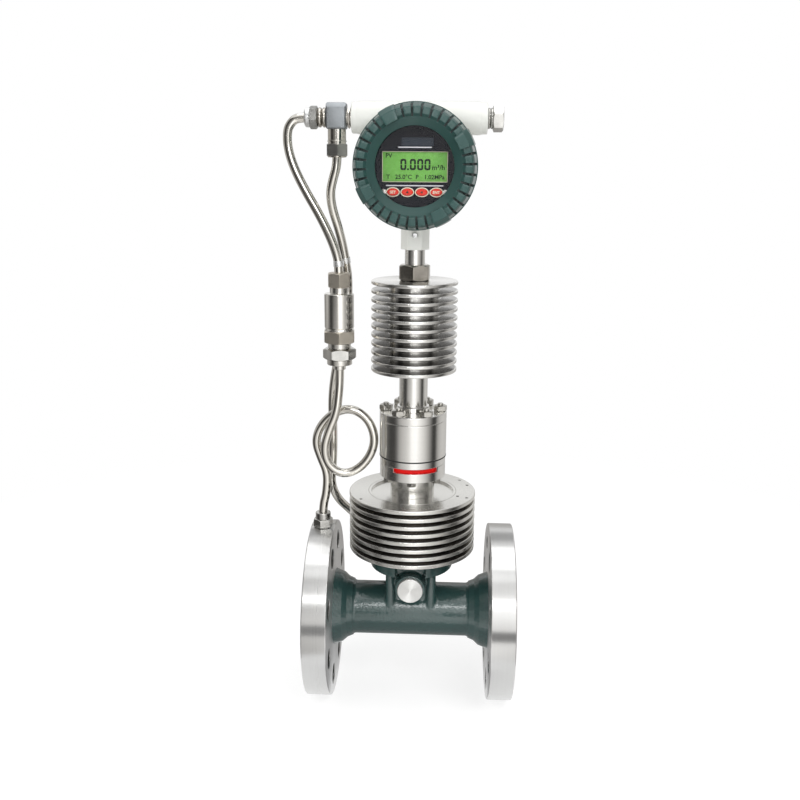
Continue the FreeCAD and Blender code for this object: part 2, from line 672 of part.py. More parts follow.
def make_measuring_pieces():
    """Bluff bar and sensing rod in the bore, and the plug of the front boss."""
    body = new_body("bluff_bar")
    outline = new_sketch(body, "XY_Plane", "bluff_section")
    half = size.bar_length / 2
    polygon(outline, [(-half, -size.bar_face / 2), (half, -size.bar_tail / 2),
                      (half, size.bar_tail / 2), (-half, size.bar_face / 2)])
    pad(body, outline, size.bore_diameter)
    seat(body, x=neck_x - size.bar_lead, z=-size.bore_diameter / 2)
    barrel = doc.addObject("Part::Cylinder", "bluff_barrel")
    bind(barrel, "Radius", size.bore_diameter / 2 - size.fit)
    bind(barrel, "Height", size.face_length)
    seat(barrel, turn=RIGHT)
    bar = doc.addObject("Part::Common", "bluff_bar_trimmed")
    bar.Base = body
    bar.Tool = barrel
    keep("bluff_bar", bar)

    crown = size.bore_diameter / 2
    seat_height = size.pedestal_height - size.probe_head_height
    stem = size.probe_stem / 2
    drop = seat_height - crown
    sensing_rod = turned("sensor_rod", [
        (0, 0), (stem, 0), (stem, drop), (size.probe_head / 2, drop),
        (size.probe_head / 2, drop + size.probe_head_height), (stem, drop + size.probe_head_height),
        (stem, drop + size.probe_head_height + size.probe_tail),
        (0, drop + size.probe_head_height + size.probe_tail)], neck_x, 0, crown)
    wing = block("sensor_wing", size.probe_wing_width, size.probe_wing, size.probe_wing_dip,
                 neck_x, Length(0), crown - size.probe_wing_dip)
    keep("sensor_probe", fuse("sensor_probe", sensing_rod, wing))

    shank = size.boss_socket / 2 - size.fit
    keep("tap_plug", turned("tap_plug", [
        (0, 0), (shank, 0), (shank, size.boss_socket_depth - size.fit),
        (size.plug_diameter / 2, size.boss_socket_depth - size.fit),
        (size.plug_diameter / 2, size.boss_socket_depth + size.plug_head),
        (0, size.boss_socket_depth + size.plug_head)],
        neck_x, size.boss_socket_depth - size.boss_reach - size.fit, size.boss_height, FRONT))


def make_heat_sink(name, foot, core, bore, diameter, fin, pitch, count):
    """A turned core with even fins."""
    body = new_body(name)
    height = pitch * (count - 1) + fin
    core_section = new_sketch(body, "XZ_Plane", name + "_core")
    revolve(body, polygon(core_section, tube_section(bore, core, 0, height)))
    fin_section = new_sketch(body, "XZ_Plane", name + "_fin")
    disc = revolve(body, polygon(fin_section, tube_section(core - fin, diameter, 0, fin)))
    rows = body.newObject("PartDesign::LinearPattern", name + "_fins")
    rows.Originals = [disc]
    rows.Direction = (fin_section, ["V_Axis"])
    bind(rows, "Length", pitch * (count - 1))
    bind(rows, "Occurrences", count)
    body.Tip = rows
    seat(body, neck_x, 0, foot)
    return keep(name, body)


def make_neck():
    """Everything from the round plate up to the display head."""
    lower = make_heat_sink("lower_heat_sink", size.pedestal_height, size.lower_core, size.wire_bore,
                           size.lower_fin_diameter, size.lower_fin, size.lower_fin_pitch,
                           size.lower_fin_count)
    recess = new_sketch(lower, "XZ_Plane", "sink_recess")
    floor = recess_floor - size.pedestal_height
    dish = size.recess_diameter / 2
    polygon(recess, [(0, floor), (dish, floor), (dish, floor + size.recess_depth),
                     (0, floor + size.recess_depth)])
    revolve(lower, recess, "Groove")

    bore = size.wire_bore / 2
    high = size.neck_height + size.clamp_thickness
    neck = turned("clamp_neck", [
        (bore, 0), (size.neck_diameter / 2, 0), (size.neck_diameter / 2, size.neck_height),
        (size.clamp_diameter / 2, size.neck_height), (size.clamp_diameter / 2, high), (bore, high)],
        neck_x, 0, recess_floor)
    lip_section = new_sketch(neck, "XZ_Plane", "clamp_lip", turn=float(size.clamp_lip_turn))
    lip_bore = size.clamp_diameter - size.clamp_lip_wall * 2
    polygon(lip_section, tube_section(lip_bore, size.clamp_diameter, high - size.clamp_thickness / 2,
                                      high + size.gasket_thickness - size.fit))
    lip = revolve(neck, lip_section, angle=size.clamp_lip_angle, both=True)
    ring_pattern(neck, [lip], lip_section, "V_Axis", 2)
    keep("clamp_neck", neck)

    gasket_bore = size.gasket_bore
    keep("red_gasket", turned("red_gasket", tube_section(
        gasket_bore, size.gasket_diameter, 0, size.gasket_thickness), neck_x, 0, gasket_foot))
    keep("chamber_ring", turned("chamber_ring", tube_section(
        gasket_bore, size.clamp_diameter, 0, size.ring_thickness), neck_x, 0, ring_foot))
    keep("chamber_seal", turned("chamber_seal", tube_section(
        size.seal_bore, size.seal_diameter, 0, size.seal_thickness),
        neck_x, 0, seal_foot))

    chamber = turned("sensor_chamber", tube_section(
        size.chamber_bore, size.chamber_diameter, 0, size.chamber_height), neck_x, 0, chamber_foot)
    stud_hole = size.stud_diameter + size.fit * 2
    top_holes = new_sketch(chamber, "XY_Plane", "stud_sockets", lift=size.chamber_height - size.stud_depth)
    circles(top_holes, [(size.stud_circle / 2, 0)], stud_hole)
    drilled = pocket(chamber, top_holes, back=True)
    ring_pattern(chamber, [drilled], top_holes, "N_Axis", size.stud_count)
    keep("sensor_chamber", chamber)

    edge = size.cap_chamfer
    rim = size.chamber_diameter / 2
    cap = turned("chamber_cap", [
        (size.stem_bore / 2, 0), (rim, 0), (rim, size.cap_height - edge),
        (rim - edge, size.cap_height), (size.stem_bore / 2, size.cap_height)], neck_x, 0, cap_foot)
    keep("chamber_cap", hole_ring(cap, "cap_holes", size.stud_circle, stud_hole, size.stud_count))

    stud_length = size.stud_depth + size.cap_height + size.nut_height + size.stud_end - size.fit
    stud = turned("stud", [(0, 0), (size.stud_diameter / 2, 0), (size.stud_diameter / 2, stud_length),
                           (0, stud_length)], neck_x, 0, cap_foot - size.stud_depth + size.fit)
    stud_places = on_circle(size.stud_circle, int(float(size.stud_count)))
    copies("cap_studs", stud, stud_places)
    nut = hexed("nut", hex_profile(size.nut_flats, stud_hole, Length(0), size.nut_height),
                size.nut_flats, neck_x, 0, stem_foot)
    copies("cap_nuts", nut, stud_places)
    head = size.ring_bolt_head
    bolt = hexed("ring_bolt", hex_profile(size.ring_bolt_flats, Length(0), Length(0), head),
                 size.ring_bolt_flats, neck_x, 0, clamp_foot - head)
    bolt_count = int(float(size.ring_bolt_count))
    copies("ring_bolts", bolt, on_circle(size.ring_bolt_circle, bolt_count, 180.0 / bolt_count))

    collar = size.stem_collar_diameter / 2
    post = size.stem_diameter / 2
    way = size.stem_bore / 2
    keep("stem_tube", turned("stem_tube", [
        (way, 0), (collar, 0), (collar, size.stem_collar), (post, size.stem_collar),
        (post, size.stem_height), (way, size.stem_height)], neck_x, 0, stem_foot))

    upper = make_heat_sink("upper_heat_sink", upper_foot, size.upper_core, size.stem_bore,
                           size.upper_fin_diameter, size.upper_fin, size.upper_fin_pitch,
                           size.upper_fin_count)
    grip = new_sketch(upper, "XY_Plane", "tube_socket", lift=upper_height - size.neck_tube_grip)
    circles(grip, [(0, 0)], size.neck_tube_diameter + size.fit * 2)
    pocket(upper, grip, back=True)

    nut_bore = size.neck_tube_diameter + size.fit * 2
    keep("neck_nut", hexed("neck_nut", hex_profile(size.neck_nut_flats, nut_bore, Length(0),
                                                   size.neck_nut_height),
                           size.neck_nut_flats, neck_x, 0, upper_top))
    tube_length = size.neck_tube_grip * 2 + size.neck_nut_height + size.neck_tube_gap - size.fit * 2
    keep("neck_tube", turned("neck_tube", tube_section(
        size.neck_tube_bore, size.neck_tube_diameter, 0, tube_length),
        neck_x, 0, upper_top - size.neck_tube_grip + size.fit))


def hexagon(flats):
    """Corners of a hexagon with two corners on the X axis."""
    reach = Length(f"({flats.text} / sqrt(3))")
    half = reach / 2
    side = flats / 2
    return [(reach, 0), (half, side), (-half, side), (-reach, 0), (-half, -side), (half, -side)]


def make_head_housing():
    """Cast housing: a round can with a compartment at each end, a cross arm and a hex neck."""
    body = new_body("head_housing")
    can = size.can_diameter / 2
    thread = size.spigot_thread / 2
    front_end = size.can_front + size.spigot_length
    rear_end = size.can_rear + size.spigot_length
    section = new_sketch(body, "XY_Plane", "can_section")
    polygon(section, [(0, -front_end), (thread, -front_end), (thread, -size.can_front),
                      (can, -size.can_front), (can, size.can_rear), (thread, size.can_rear),
                      (thread, rear_end), (0, rear_end)])
    revolve(body, section)
    neck = new_sketch(body, "XY_Plane", "hex_neck", lift=-size.head_rise)
    pad(body, polygon(neck, hexagon(size.head_neck_flats)), size.head_rise - size.can_bore / 2)
    inner = new_sketch(body, "YZ_Plane", "arm", lift=size.arm_end_length - size.arm_left)
    pad(body, circles(inner, [(0, size.arm_rise)], size.arm_diameter),
        size.arm_left + size.arm_right - size.arm_end_length * 2)
    outer = new_sketch(body, "YZ_Plane", "arm_ends", lift=-size.arm_left)
    pad(body, circles(outer, [(0, size.arm_rise)], size.arm_end_diameter),
        size.arm_left + size.arm_right)

    room = size.can_bore / 2
    wall = size.divider_front - size.divider_wall
    front_room = new_sketch(body, "XY_Plane", "front_room")
    polygon(front_room, [(0, -front_end), (room, -front_end), (room, -size.divider_front),
                         (0, -size.divider_front)])
    revolve(body, front_room, "Groove")
    rear_room = new_sketch(body, "XY_Plane", "rear_room")
    polygon(rear_room, [(0, -wall), (room, -wall), (room, rear_end), (0, rear_end)])
    revolve(body, rear_room, "Groove")
    reach = room / 2
    left = new_sketch(body, "YZ_Plane", "left_entry", lift=-reach)
    pocket(body, circles(left, [(0, size.arm_rise)], size.entry_diameter))
    right = new_sketch(body, "YZ_Plane", "right_entry", lift=reach)
    pocket(body, circles(right, [(0, size.arm_rise)], size.entry_diameter), back=True)
    socket = new_sketch(body, "XY_Plane", "neck_socket", lift=-size.head_rise)
    circles(socket, [(0, 0)], size.neck_tube_diameter + size.fit * 2)
    pocket(body, socket, size.neck_tube_grip, back=True)
    wires = new_sketch(body, "XY_Plane", "wire_way", lift=-size.head_rise)
    pocket(body, circles(wires, [(0, 0)], size.neck_tube_bore), size.head_rise - reach, back=True)
    screw = new_sketch(body, "XZ_Plane", "set_screw_hole", lift=size.neck_tube_diameter / 2)
    circles(screw, [(0, size.set_screw_height - size.head_rise)], size.set_screw_diameter + size.fit * 2)
    pocket(body, screw, back=True)
    seat(body, neck_x, 0, head_z)
    keep("head_housing", body)

    grub = size.set_screw_diameter / 2
    reach_out = size.head_neck_flats / 2 - size.neck_tube_diameter / 2
    keep("set_screw", turned("set_screw", [(0, 0), (grub, 0), (grub, reach_out), (0, reach_out)],
                             neck_x, -size.neck_tube_diameter / 2 - size.fit,
                             head_foot + size.set_screw_height, FRONT))


def make_cover(name, place, turn, glazed):
    """A screwed cover with grip grooves and wrench lugs, its own +Z from open rim to face."""
    top = size.cover_height
    thread = size.spigot_thread / 2 + size.play
    rim = size.cover_rim_diameter / 2
    skirt = size.cover_skirt_diameter / 2
    turn_z = top - size.cover_shoulder
    shoulder = size.cover_shoulder_diameter / 2
    band = size.cover_band_diameter / 2
    bezel = size.cover_band_bore / 2
    window = size.window_diameter / 2
    pocket_r = size.cover_seal_diameter / 2
    floor = top - size.window_depth
    outer = [(pocket_r, 0), (rim, 0), (rim, size.cover_rim), (skirt, size.cover_rim),
             (shoulder, turn_z), (band, top), (bezel, top), (window, floor)]
    glass = size.glass_diameter / 2 + size.fit
    ledge = floor - size.window_lip
    room = ledge - size.glass_thickness - size.glass_ring_height
    if glazed:
        inner = [(window, ledge), (glass, ledge), (glass, room), (thread, room)]
    else:
        inner = [(0, floor), (0, ledge), (glass, ledge), (glass, room), (thread, room)]
    lip = [(thread, size.cover_seal_pocket), (pocket_r, size.cover_seal_pocket)]
    body = new_body(name)
    section = polygon(new_sketch(body, "XZ_Plane", name + "_section"), outer + inner + lip)
    revolve(body, section)

    deep = size.groove_depth
    groove = new_sketch(body, "XZ_Plane", name + "_groove", turn=180 / float(size.groove_count))
    polygon(groove, [(skirt - deep, size.cover_rim + deep), (shoulder - deep, turn_z),
                     (band - deep, top - deep), (bezel - deep, top - deep), (bezel - deep, top + deep),
                     (rim, top + deep), (rim, size.cover_rim + deep)])
    slot = revolve(body, groove, "Groove", angle=size.groove_angle, both=True)
    ring_pattern(body, [slot], groove, "V_Axis", size.groove_count)

    lug_in = size.lug_bore / 2
    lug_top = top + size.lug_height
    lug_section = new_sketch(body, "XZ_Plane", name + "_lug")
    polygon(lug_section, [(lug_in, ledge), (lug_in, lug_top), (band, lug_top),
                          (shoulder + size.lug_height, turn_z), (size.lug_diameter / 2, size.cover_rim),
                          (thread + deep, size.cover_rim), (thread + deep, ledge)])
    lug = revolve(body, lug_section, angle=size.lug_angle, both=True)
    ring_pattern(body, [lug], lug_section, "V_Axis", size.lug_count)
    seat(body, neck_x, place, head_z, turn.multiply(Rotation(Vector(0, 0, 1), float(size.lug_turn))))
    return keep(name, body)


def make_covers():
    """Both covers with their seals, and the window of the front one."""
    gap = size.play
    front = -(size.can_front + gap)
    rear = size.can_rear + gap
    make_cover("front_cover", front, FRONT, True)
    make_cover("rear_cover", rear, BACK, False)
    outside = size.cover_seal_diameter - size.play * 2
    inside = size.spigot_thread + size.play * 2
    for name, place, turn in (("front_cover_seal", front, FRONT), ("rear_cover_seal", rear, BACK)):
        keep(name, turned(name, tube_section(inside, outside, 0, size.cover_seal),
                          neck_x, place, head_z, turn))
    glass_foot = size.cover_height - size.window_depth - size.window_lip - size.glass_thickness
    keep("window_glass", turned("window_glass", [
        (0, 0), (size.glass_diameter / 2, 0), (size.glass_diameter / 2, size.glass_thickness),
        (0, size.glass_thickness)], neck_x, front - glass_foot, head_z, FRONT))
    keep("glass_ring", turned("glass_ring", tube_section(
        size.glass_ring_bore, size.glass_diameter, 0, size.glass_ring_height),
        neck_x, front - glass_foot + size.glass_ring_height, head_z, FRONT))


def oval(name, width, height, depth, x, y, z):
    """An elliptical button blank that reaches depth backwards from its face at y."""
    edge = doc.addObject("Part::Ellipse", name + "_edge")
    bind(edge, "MajorRadius", width / 2)
    bind(edge, "MinorRadius", height / 2)
    seat(edge, x, y, z, FRONT)
    solid = doc.addObject("Part::Extrusion", name + "_solid")
    solid.Base = edge
    solid.DirMode = "Custom"
    solid.Dir = Vector(0, 1, 0)
    solid.Solid = True
    bind(solid, "LengthFwd", depth)
    return solid


def disc(name, diameter, depth, front):
    """A round plate across the head, its face turned to the viewer."""
    plate = doc.addObject("Part::Cylinder", name + "_disc")
    bind(plate, "Radius", diameter / 2)
    bind(plate, "Height", depth)
    seat(plate, neck_x, -front, head_z, BACK)
    return plate


KEYS = ("set_key", "up_key", "shift_key", "enter_key")


def make_display():
    """Panel, liquid crystal, keys, mat, board and their screws in the front compartment."""
    key_z = head_z - size.key_drop
    panel_back = size.panel_front - size.panel_thickness
    slots = []
    middle = (len(KEYS) - 1) / 2
    for index, name in enumerate(KEYS):
        key_x = neck_x + size.key_pitch * (index - middle)
        face = -(size.panel_front + size.key_proud)
        keep(name, oval(name, size.key_width, size.key_height, size.key_thickness, key_x, face, key_z))
        slots.append(oval(name + "_slot", size.key_width + size.play * 2, size.key_height + size.play * 2,
                          size.key_thickness + size.panel_thickness, key_x, face, key_z))
    view = block("lcd_view", size.lcd_width, size.panel_front, size.lcd_height,
                 neck_x, -size.panel_front, head_z - size.lcd_height / 2)
    screw_holes = []
    shaft = size.screw_diameter + size.fit * 2
    for sign in (-1, 1):
        hole = doc.addObject("Part::Cylinder", "panel_hole")
        bind(hole, "Radius", shaft / 2)
        bind(hole, "Height", size.panel_front)
        in_front = size.panel_front + size.panel_thickness
        seat(hole, neck_x + size.screw_spread / 2 * sign, -in_front, key_z, BACK)
        screw_holes.append(hole)
    plate = disc("display_panel", size.panel_diameter, size.panel_thickness, size.panel_front)
    keep("display_panel", cut("display_panel", plate, view, *slots, *screw_holes))
    frame_width = size.lcd_width + size.lcd_margin * 2
    frame_height = size.lcd_height + size.lcd_margin * 2
    keep("lcd_module", block("lcd_module", frame_width, size.lcd_thickness, frame_height, neck_x,
                             size.lcd_thickness / 2 - panel_back, head_z - frame_height / 2))
    mat_width = size.key_pitch * (len(KEYS) - 1) + size.key_width + size.mat_margin
    mat_height = size.key_height + size.mat_margin
    keep("keypad_mat", block("keypad_mat", mat_width, size.mat_thickness, mat_height, neck_x,
                             size.mat_thickness / 2 - panel_back, key_z - mat_height / 2))

    board = disc("circuit_board", size.board_diameter, size.board_thickness, size.board_front)
    keep("circuit_board", cut("circuit_board", board, *screw_holes))
    board_back = size.board_front - size.board_thickness
    lower_spacer = board_back - size.divider_front
    upper_spacer = panel_back - size.board_front
    screw_length = size.panel_front - size.divider_front - size.fit
    spacers = []
    screws = []
    for sign in (-1, 1):
        spot = neck_x + size.screw_spread / 2 * sign
        for front, length in ((board_back, lower_spacer), (panel_back, upper_spacer)):
            spacers.append(turned("spacer", tube_section(shaft, size.spacer_diameter, 0, length),
                                  spot, -front, key_z, BACK))
        head = size.screw_head / 2
        screws.append(turned("panel_screw", [
            (0, 0), (head, 0), (head, size.screw_head_height),
            (size.screw_diameter / 2, size.screw_head_height),
            (size.screw_diameter / 2, size.screw_head_height + screw_length),
            (0, size.screw_head_height + screw_length)],
            spot, -size.panel_front - size.screw_head_height, key_z, BACK))
    for name, things in (("spacers", spacers), ("panel_screws", screws)):
        group = doc.addObject("Part::Compound", name + "_group")
        group.Links = things
        keep(name, group)


def make_terminals():
    """Terminal block on the dividing wall of the rear compartment."""
    wall = size.divider_front - size.divider_wall
    keep("terminal_block", block("terminal_block", size.terminal_width, size.terminal_depth,
                                 size.terminal_height, neck_x, size.terminal_depth / 2 - wall,
                                 head_z - size.terminal_height / 2))
    head = size.terminal_screw / 2
    screw = turned("terminal_screw", [
        (0, 0), (head, 0), (head, size.terminal_screw_height), (0, size.terminal_screw_height)],
                   neck_x, size.terminal_depth - wall, head_z, BACK)
    count = int(float(size.terminal_count))
    pitch = float(size.terminal_pitch)
    copies("terminal_screws", screw,
           [Vector((index - (count - 1) / 2) * pitch, 0, 0) for index in range(count)])


def gland_profile(flats, bore, height, nose):
    """Hex nut with a rounded nose where the conduit leaves it."""
    body = hex_profile(flats, bore, Length(0), height)
    corner = flats / 2
    return body[:-2] + [(corner, height), (corner - nose * NOSE_INSET, height + nose * NOSE_RISE),
                        (corner - nose, height + nose), (bore / 2, height + nose)]


def make_entries():
    """Blanking plug on the right of the arm, tee and glands on its left."""
    thread = size.entry_diameter / 2 - size.fit
    right_end = neck_x + size.arm_right
    neck_end = size.entry_grip + size.entry_neck
    shank = turned("plug_shank", [(0, 0), (thread, 0), (thread, neck_end), (0, neck_end)],
                   right_end - size.entry_grip, 0, arm_z, RIGHT)
    head = hexed("plug_head", hex_profile(size.entry_plug_flats, Length(0), Length(0), size.entry_plug_head),
                 size.entry_plug_flats, right_end + size.entry_neck, 0, arm_z, RIGHT)
    keep("blanking_plug", fuse("blanking_plug", shank, head))
    keep("plug_seal", turned("plug_seal", tube_section(
        size.entry_diameter, size.entry_seal_diameter, 0, size.entry_seal), right_end, 0, arm_z, RIGHT))

    left_end = neck_x - size.arm_left
    tee_x = left_end - size.entry_neck - size.tee_width / 2
    bulk = block("tee_bulk", size.tee_width, size.tee_depth, size.tee_height, tee_x, Length(0),
                 arm_z - size.tee_foot)
    doc.recompute()
    eased = doc.addObject("Part::Chamfer", "tee_eased")
    eased.Base = bulk
    tee_top = float(arm_z - size.tee_foot + size.tee_height)
    eases = []
    for index, edge in enumerate(bulk.Shape.Edges, start=1):
        on_top = abs(edge.BoundBox.ZMin - tee_top) < SAME_PLACE
        ease = float(size.tee_crown if on_top else size.tee_chamfer)
        eases.append((index, ease, ease))
    eased.Edges = eases
    branch = size.tee_branch / 2
    inside = size.tube_diameter / 2 + size.fit
    nipple = turned("tee_nipple", [(0, 0), (thread, 0), (thread, neck_end + size.tee_width / 2),
                                   (0, neck_end + size.tee_width / 2)], tee_x, 0, arm_z, RIGHT)
    side = turned("tee_side", [(0, 0), (branch, 0), (branch, size.tee_width / 2 + size.tee_reach),
                               (0, size.tee_width / 2 + size.tee_reach)], tee_x, 0, arm_z, LEFT)
    lower = turned("tee_lower", [(0, 0), (branch, 0), (branch, size.tee_foot + size.tee_drop),
                                 (0, size.tee_foot + size.tee_drop)], tee_x, 0, arm_z, DOWN)
    ways = []
    for name, turn, reach in (("side_way", LEFT, size.tee_width), ("lower_way", DOWN, size.tee_height)):
        ways.append(turned(name, [(0, 0), (inside, 0), (inside, reach * 2), (0, reach * 2)],
                           tee_x, 0, arm_z, turn))
    keep("tee_fitting", cut("tee_fitting", fuse("tee_solid", eased, nipple, side, lower), *ways))
    nut = gland_profile(size.gland_flats, inside * 2, size.gland_height, size.gland_nose)
    keep("side_gland_nut", hexed("side_gland_nut", nut, size.gland_flats,
                                 tee_x - size.tee_width / 2 - size.tee_reach, 0, arm_z, LEFT))
    keep("lower_gland_nut", hexed("lower_gland_nut", nut, size.gland_flats, tee_x, 0,
                                  arm_z - size.tee_foot - size.tee_drop, DOWN))
    return tee_x


class Mouth:
    """The end of a fitting: a tube reaches a little inside it and leaves it straight."""

    def __init__(self, place, way):
        mouth = Vector(*(float(value) for value in place))
        self.inside = mouth - way * float(size.tube_grip)
        self.outside = mouth + way * float(size.tube_grip)


def tube(name, points):
    """A bent tube along straight runs and tangent arcs, each arc as large as its runs allow."""
    edges = []
    start = points[0]
    length = 0.0
    radii = []
    for before, corner, after in zip(points, points[1:], points[2:]):
        back = (before - corner).normalize()
        ahead = (after - corner).normalize()
        turn = math.pi - back.getAngle(ahead)
        run = ARC_SHARE * min((before - corner).Length, (after - corner).Length)
        radius = run / math.tan(turn / 2)
        entry = corner + back * run
        leave = corner + ahead * run
        centre = corner + (back + ahead).normalize() * (radius / math.cos(turn / 2))
        crest = centre + (corner - centre).normalize() * radius
        edges.append(Part.LineSegment(start, entry).toShape())
        edges.append(Part.Arc(entry, crest, leave).toShape())
        length += (entry - start).Length + radius * turn
        radii.append(radius)
        start = leave
    edges.append(Part.LineSegment(start, points[-1]).toShape())
    length += (points[-1] - start).Length
    path = Part.Wire(edges)
    outside = float(size.tube_diameter) / 2
    inside = outside - float(size.tube_wall)
    heading = points[1] - points[0]
    rings = [Part.Wire(Part.Circle(points[0], heading, radius).toShape()) for radius in (outside, inside)]
    outer, inner = (path.makePipeShell([ring], True, False) for ring in rings)
    shape = outer.cut(inner)
    section = math.pi * (outside ** 2 - inside ** 2)
    if abs(shape.Volume - section * length) > VOLUME_TOLERANCE * section * length:
        raise RuntimeError(f"{name} has volume {shape.Volume:.1f}, not {section * length:.1f}")
    print(f"{name}: length {length:.0f} mm, smallest bend radius {min(radii):.1f} mm")
    solid = doc.addObject("Part::Feature", name)
    solid.Shape = shape
    keep(name, solid)


def make_pressure_line(tee_x):
    """Transmitter, siphon and the two conduits that come from the tee."""
    line_x = neck_x - size.transmitter_side
    foot = size.transmitter_foot
    body_foot = foot + size.transmitter_hex
    neck_foot = body_foot + size.transmitter_height
    top = neck_foot + size.transmitter_neck_height
    hexagon_part = hexed("transmitter_hex", hex_profile(
        size.transmitter_flats, Length(0), Length(0), size.transmitter_hex), size.transmitter_flats,
        line_x, 0, foot)
    shell = size.transmitter_diameter / 2
    throat = size.transmitter_neck / 2
    way = size.tube_diameter / 2 + size.fit
    barrel = turned("transmitter_barrel", [
        (0, 0), (shell, 0), (shell, size.transmitter_height - size.transmitter_chamfer),
        (shell - size.transmitter_chamfer, size.transmitter_height), (throat, size.transmitter_height),
        (throat, size.transmitter_height + size.transmitter_neck_height),
        (0, size.transmitter_height + size.transmitter_neck_height)], line_x, 0, body_foot)
    port = size.union_neck / 2
    port_end = size.union_neck_height
    pressure_port = turned("transmitter_port", [(0, 0), (port, 0), (port, port_end), (0, port_end)],
                           line_x, 0, foot - port_end)
    keep("pressure_transmitter", fuse("pressure_transmitter", hexagon_part, barrel, pressure_port))
    tube_hole = size.tube_diameter + size.fit * 2
    keep("transmitter_gland", hexed("transmitter_gland", hex_profile(
        size.top_gland_flats, tube_hole, Length(0), size.top_gland_height), size.top_gland_flats,
        line_x, 0, top))

    nut_foot = foot - size.union_neck_height - size.union_height
    keep("union_nut", hexed("union_nut", hex_profile(
        size.transmitter_flats, tube_hole, Length(0), size.union_height), size.transmitter_flats,
        line_x, 0, nut_foot))
    tail_foot = nut_foot - size.tail_height - size.tail_sleeve_height
    sleeve = size.tail_sleeve / 2
    keep("siphon_tail", turned("siphon_tail", [
        (way, 0), (sleeve, 0), (sleeve, size.tail_sleeve_height),
        (size.tail_diameter / 2, size.tail_sleeve_height),
        (size.tail_diameter / 2, size.tail_sleeve_height + size.tail_height),
        (way, size.tail_sleeve_height + size.tail_height)], line_x, 0, tail_foot))

    tap_x = size.flange_thickness / 2
    tap_foot = size.flange_diameter / 2 - size.spot_depth
    tap_hex = hexed("tap_hex", hex_profile(size.tap_flats, Length(0), Length(0), size.tap_hex),
                    size.tap_flats, tap_x, 0, tap_foot)
    thread = size.tap_thread / 2 - size.fit
    depth = size.tap_thread_depth - size.fit
    tap_stem = turned("tap_stem", [
        (0, 0), (thread, 0), (thread, depth), (size.tap_collar / 2, depth),
        (size.tap_collar / 2, depth + size.tap_hex + size.tap_collar_height),
        (0, depth + size.tap_hex + size.tap_collar_height)], tap_x, 0, tap_foot - depth)
    tube_seat = doc.addObject("Part::Cylinder", "tap_tube_seat")
    bind(tube_seat, "Radius", way)
    bind(tube_seat, "Height", size.flange_diameter)
    seat(tube_seat, tap_x, 0, tap_foot + size.tap_hex)
    drill = doc.addObject("Part::Cylinder", "tap_drill")
    bind(drill, "Radius", size.tap_hole / 2)
    bind(drill, "Height", size.flange_diameter)
    seat(drill, tap_x, 0, tap_foot - size.flange_diameter / 2)
    keep("siphon_fitting", cut("siphon_fitting", fuse("tap_solid", tap_hex, tap_stem), tube_seat, drill))

    # Mouths of the fittings that hold the tubes, and the ways out of them
    gland = size.gland_height + size.gland_nose
    collar_top = tap_foot + size.tap_hex + size.tap_collar_height
    well_mouth = size.boss_reach + size.well_hex + size.well_nut
    well_turn = math.radians(float(size.probe_boss_angle))
    well_way = Vector(math.sin(well_turn), -math.cos(well_turn), 0)
    middle_x = float(neck_x)
    well_spot = Vector(middle_x, 0, float(size.boss_height)) + well_way * float(well_mouth)
    siphon_top = Mouth((line_x, 0, tail_foot), Vector(0, 0, -1))
    siphon_end = Mouth((tap_x, 0, collar_top), Vector(0, 0, 1))
    signal_start = Mouth((tee_x - size.tee_width / 2 - size.tee_reach - gland, 0, arm_z), Vector(-1, 0, 0))
    signal_end = Mouth((line_x, 0, top + size.top_gland_height), Vector(0, 0, 1))
    sensor_start = Mouth((tee_x, 0, arm_z - size.tee_foot - size.tee_drop - gland), Vector(0, 0, -1))
    sensor_end = Mouth(well_spot, well_way)

    # Bends of the tubes, chosen by hand as (along the pipe from the neck axis, across, up)
    siphon_bends = [
        (-67.8, -1.6, 213), (-69.8, -4.2, 194), (-77.0, -5.0, 177), (-81.6, -5.0, 160),
        (-78.2, -5.0, 144.5), (-65.5, -4.6, 134.8), (-50.5, -3.4, 139.2), (-38.7, -1.6, 152.4),
        (-34.4, 0.6, 169.5), (-41.4, 2.8, 187.2), (-56.5, 4.4, 196.4), (-73.0, 5.4, 192),
        (-86.2, 5.4, 178.4), (-90.8, 5.4, 163), (-85.8, 4.8, 148), (-79.6, 3.6, 133.5),
        (-80.4, 1.6, 115)]
    signal_bends = [
        (-106.5, 0, 448), (-110.3, 0, 441.3), (-110.2, 0, 427), (-105.3, 0, 410.5), (-95.5, 0, 391),
        (-84.0, 0, 371.5), (-74.8, 0, 353), (-68.8, 0, 337)]
    sensor_bends = [
        (-71.5, 2.0, 402), (-74.6, 4.5, 390), (-73.4, 8.0, 376), (-67.4, 12.0, 356),
        (-63.6, 17.0, 336), (-60.6, 21.5, 312), (-62.2, 23.5, 284), (-67.4, 26.0, 254),
        (-74.2, 28.5, 226), (-77.8, 30.0, 198), (-77.0, 31.0, 168), (-77.6, 32.5, 138),
        (-80.2, 34.0, 113), (-74.5, 40.0, 95), (-64.0, 50.0, 80.5), (-53.5, 61.0, 65.5),
        (-42.5, 67.5, 50)]

    for name, start, points, end in (("siphon_tube", siphon_top, siphon_bends, siphon_end),
                                     ("signal_conduit", signal_start, signal_bends, signal_end),
                                     ("sensor_conduit", sensor_start, sensor_bends, sensor_end)):
        bends = [Vector(middle_x + x, y, z) for x, y, z in points]
        tube(name, [start.inside, start.outside, *bends, end.outside, end.inside])


